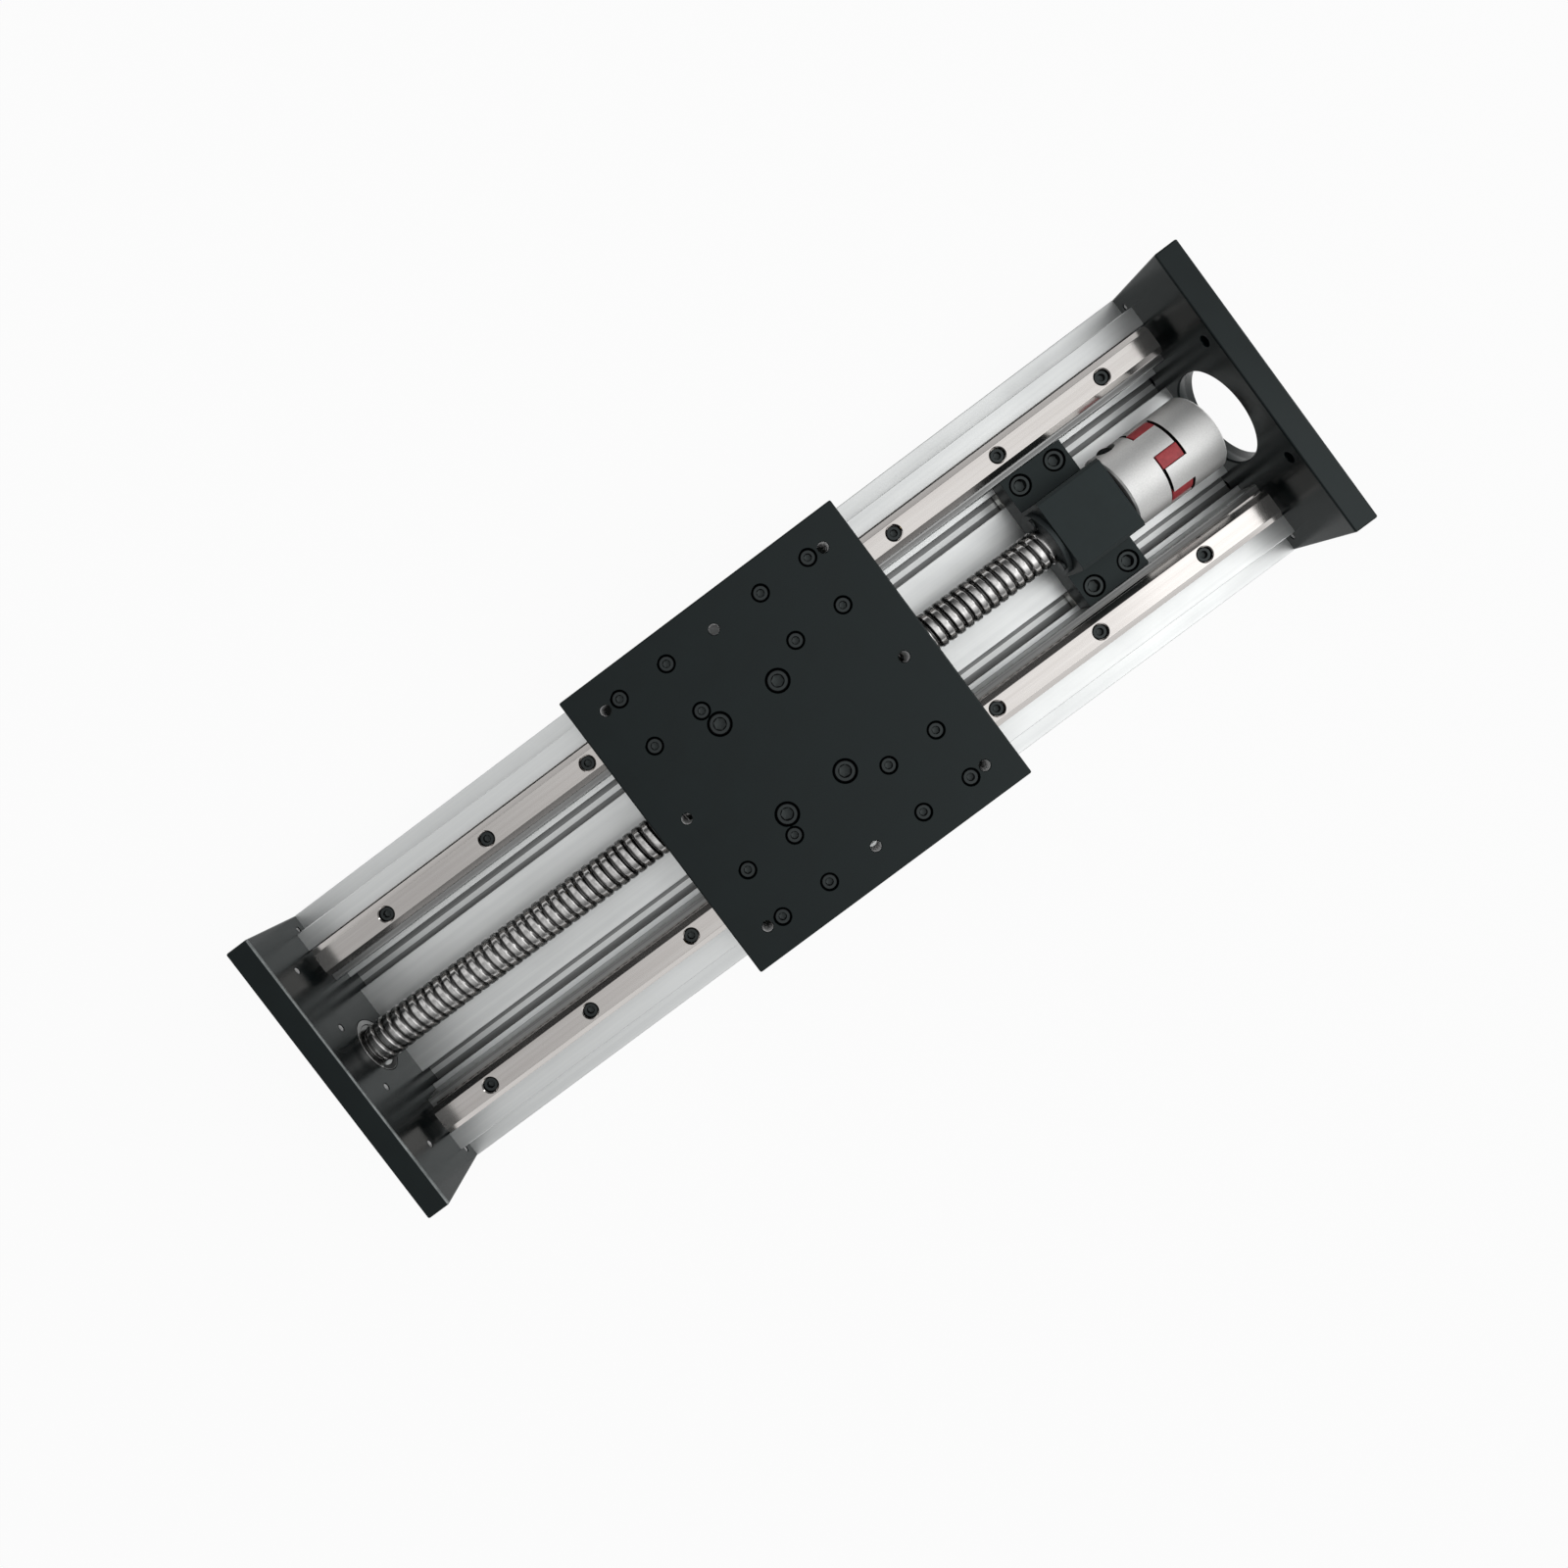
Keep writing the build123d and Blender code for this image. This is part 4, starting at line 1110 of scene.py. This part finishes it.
# %% [markdown]
# The module lies on a white floor under a wide soft light. The photograph's ground is pure
# white, and more light on it would bleach the metal as well. So the floor glows for the
# camera and for reflections, while a small share of it stays plain and shows the shadow.
# %% Floor
FLOOR_SIZE = 6
FLOOR_WHITE = 0.93
FLOOR_DROP = 0.0005


def node_maths(tree, operation, first, second):
    """One step of arithmetic in a node tree, on two sockets or a socket and a number."""
    node = tree.nodes.new("ShaderNodeMath")
    node.operation = operation
    for socket, source in zip(node.inputs, (first, second)):
        if isinstance(source, (int, float)):
            socket.default_value = source
        else:
            tree.links.new(source, socket)
    return node.outputs["Value"]


floor_mesh = bmesh.new()
bmesh.ops.create_grid(floor_mesh, x_segments=1, y_segments=1, size=FLOOR_SIZE)
floor_material, floor_shader = new_material("white_floor", (0.85, 0.85, 0.85), 0.0, 0.9)
floor_tree = floor_material.node_tree
floor_glow = floor_tree.nodes.new("ShaderNodeEmission")
floor_mix = floor_tree.nodes.new("ShaderNodeMixShader")
seen = floor_tree.nodes.new("ShaderNodeLightPath").outputs
by_metal = node_maths(floor_tree, "MAXIMUM", seen["Is Glossy Ray"], seen["Is Transmission Ray"])
by_any = node_maths(floor_tree, "MAXIMUM", seen["Is Camera Ray"], by_metal)
floor_share = node_maths(floor_tree, "MULTIPLY", by_any, FLOOR_WHITE)
floor_tree.links.new(floor_share, floor_mix.inputs["Fac"])
floor_tree.links.new(floor_shader.outputs["BSDF"], floor_mix.inputs[1])
floor_tree.links.new(floor_glow.outputs["Emission"], floor_mix.inputs[2])
floor_end = floor_tree.nodes["Material Output"]
floor_tree.links.new(floor_mix.outputs["Shader"], floor_end.inputs["Surface"])
floor = object_from(floor_mesh, "floor", floor_material)
floor.location.z = -FLOOR_DROP
print("floor", 2 * FLOOR_SIZE, "m wide")

# %% [markdown]
# Polished metal shows the room, so the room is made first. It is bright overhead and dark
# low down, which draws the dark edges on the screw and the coupling. It also gets brighter
# towards the motor and the right side, as the photograph does. The camera sees plain
# white instead, and metal sees a white rim just above the floor.
# %% Room
world = bpy.data.worlds.new("studio")
bpy.context.scene.world = world
world.use_nodes = True
room = world.node_tree
room_place = room.nodes.new("ShaderNodeTexCoord")
room_split = room.nodes.new("ShaderNodeSeparateXYZ")
room_height = room.nodes.new("ShaderNodeValToRGB")
height_steps = [(0.0, 0.07), (0.3, 0.14), (0.6, 0.55), (0.8, 1.05), (1.0, 1.22)]
for place, grey in height_steps[1:-1]:
    room_height.color_ramp.elements.new(place)
for element, (place, grey) in zip(room_height.color_ramp.elements, height_steps):
    element.position = place
    element.color = (grey, grey, grey, 1)
room.links.new(room_place.outputs["Generated"], room_split.inputs["Vector"])
room.links.new(room_split.outputs["Z"], room_height.inputs["Fac"])


def room_side(axis, low, high, at_low, at_high):
    """A factor that runs evenly from one side of the room to the other."""
    side = room.nodes.new("ShaderNodeMapRange")
    side.inputs["From Min"].default_value = low
    side.inputs["From Max"].default_value = high
    side.inputs["To Min"].default_value = at_low
    side.inputs["To Max"].default_value = at_high
    room.links.new(room_split.outputs[axis], side.inputs["Value"])
    return side.outputs["Result"]


towards_motor = room_side("X", -0.3, 0.25, 0.52, 1.0)
towards_right = room_side("Y", -0.35, 0.35, 1.2, 0.8)
left_wall = room_side("Y", 0.3, 0.65, 1.0, 0.4)
walls = node_maths(room, "MULTIPLY", towards_right, left_wall)
ceiling = node_maths(room, "MULTIPLY", room_height.outputs["Color"], towards_motor)
studio = node_maths(room, "MULTIPLY", ceiling, walls)
seen = room.nodes.new("ShaderNodeLightPath").outputs
by_metal = node_maths(room, "MAXIMUM", seen["Is Glossy Ray"], seen["Is Transmission Ray"])
camera_white = node_maths(room, "MULTIPLY", seen["Is Camera Ray"], room_side("Z", 0.4, 0.5, 1.0, 0.0))
metal_white = node_maths(room, "MULTIPLY", by_metal, room_side("Z", 0.1, 0.25, 1.0, 0.0))
backdrop = node_maths(room, "MAXIMUM", camera_white, metal_white)
background = room.nodes["Background"]
background.inputs["Color"].default_value = (0.997, 1, 1, 1)
room.links.new(node_maths(room, "MAXIMUM", studio, backdrop), background.inputs["Strength"])
print("room steps", len(height_steps))

# %% [markdown]
# Three weak soft boxes add the soft shadows that a room alone doesn't give. Two stand left
# and right at an angle, and a low one past the motor end lights the tail plate's inner
# side. They are wide, because small lamps would leave hard spots on the rails.
# %% Lamps
def soft_box(name, place, target, size, power):
    """A wide lamp at a place, aimed at a target. Its power is in watts."""
    data = bpy.data.lights.new(name, "AREA")
    data.shape = "RECTANGLE"
    data.size = size[0]
    data.size_y = size[1]
    data.energy = power
    lamp = bpy.data.objects.new(name, data)
    lamp.location = place
    aim = Vector(target) - Vector(place)
    lamp.rotation_euler = aim.to_track_quat("-Z", "Y").to_euler()
    bpy.context.scene.collection.objects.link(lamp)
    return lamp


soft_box("left_box", (-0.6, 0.9, 1.1), (0, 0, 0), (0.9, 0.9), 1.5)
soft_box("right_box", (0.9, -0.6, 1.2), (0, 0, 0), (1.0, 1.0), 1.8)
soft_box("low_window", (1.5, -0.08, 0.8), (-0.25, 0, 0.08), (0.3, 0.5), 2)
bpy.context.scene.view_settings.view_transform = "Standard"
print("lamps", 3)

# %% [markdown]
# The last cell prints how many dressed pieces ride on each body.
# %% Finish
print("pieces", {body: len(names) for body, names in BODY.items()})
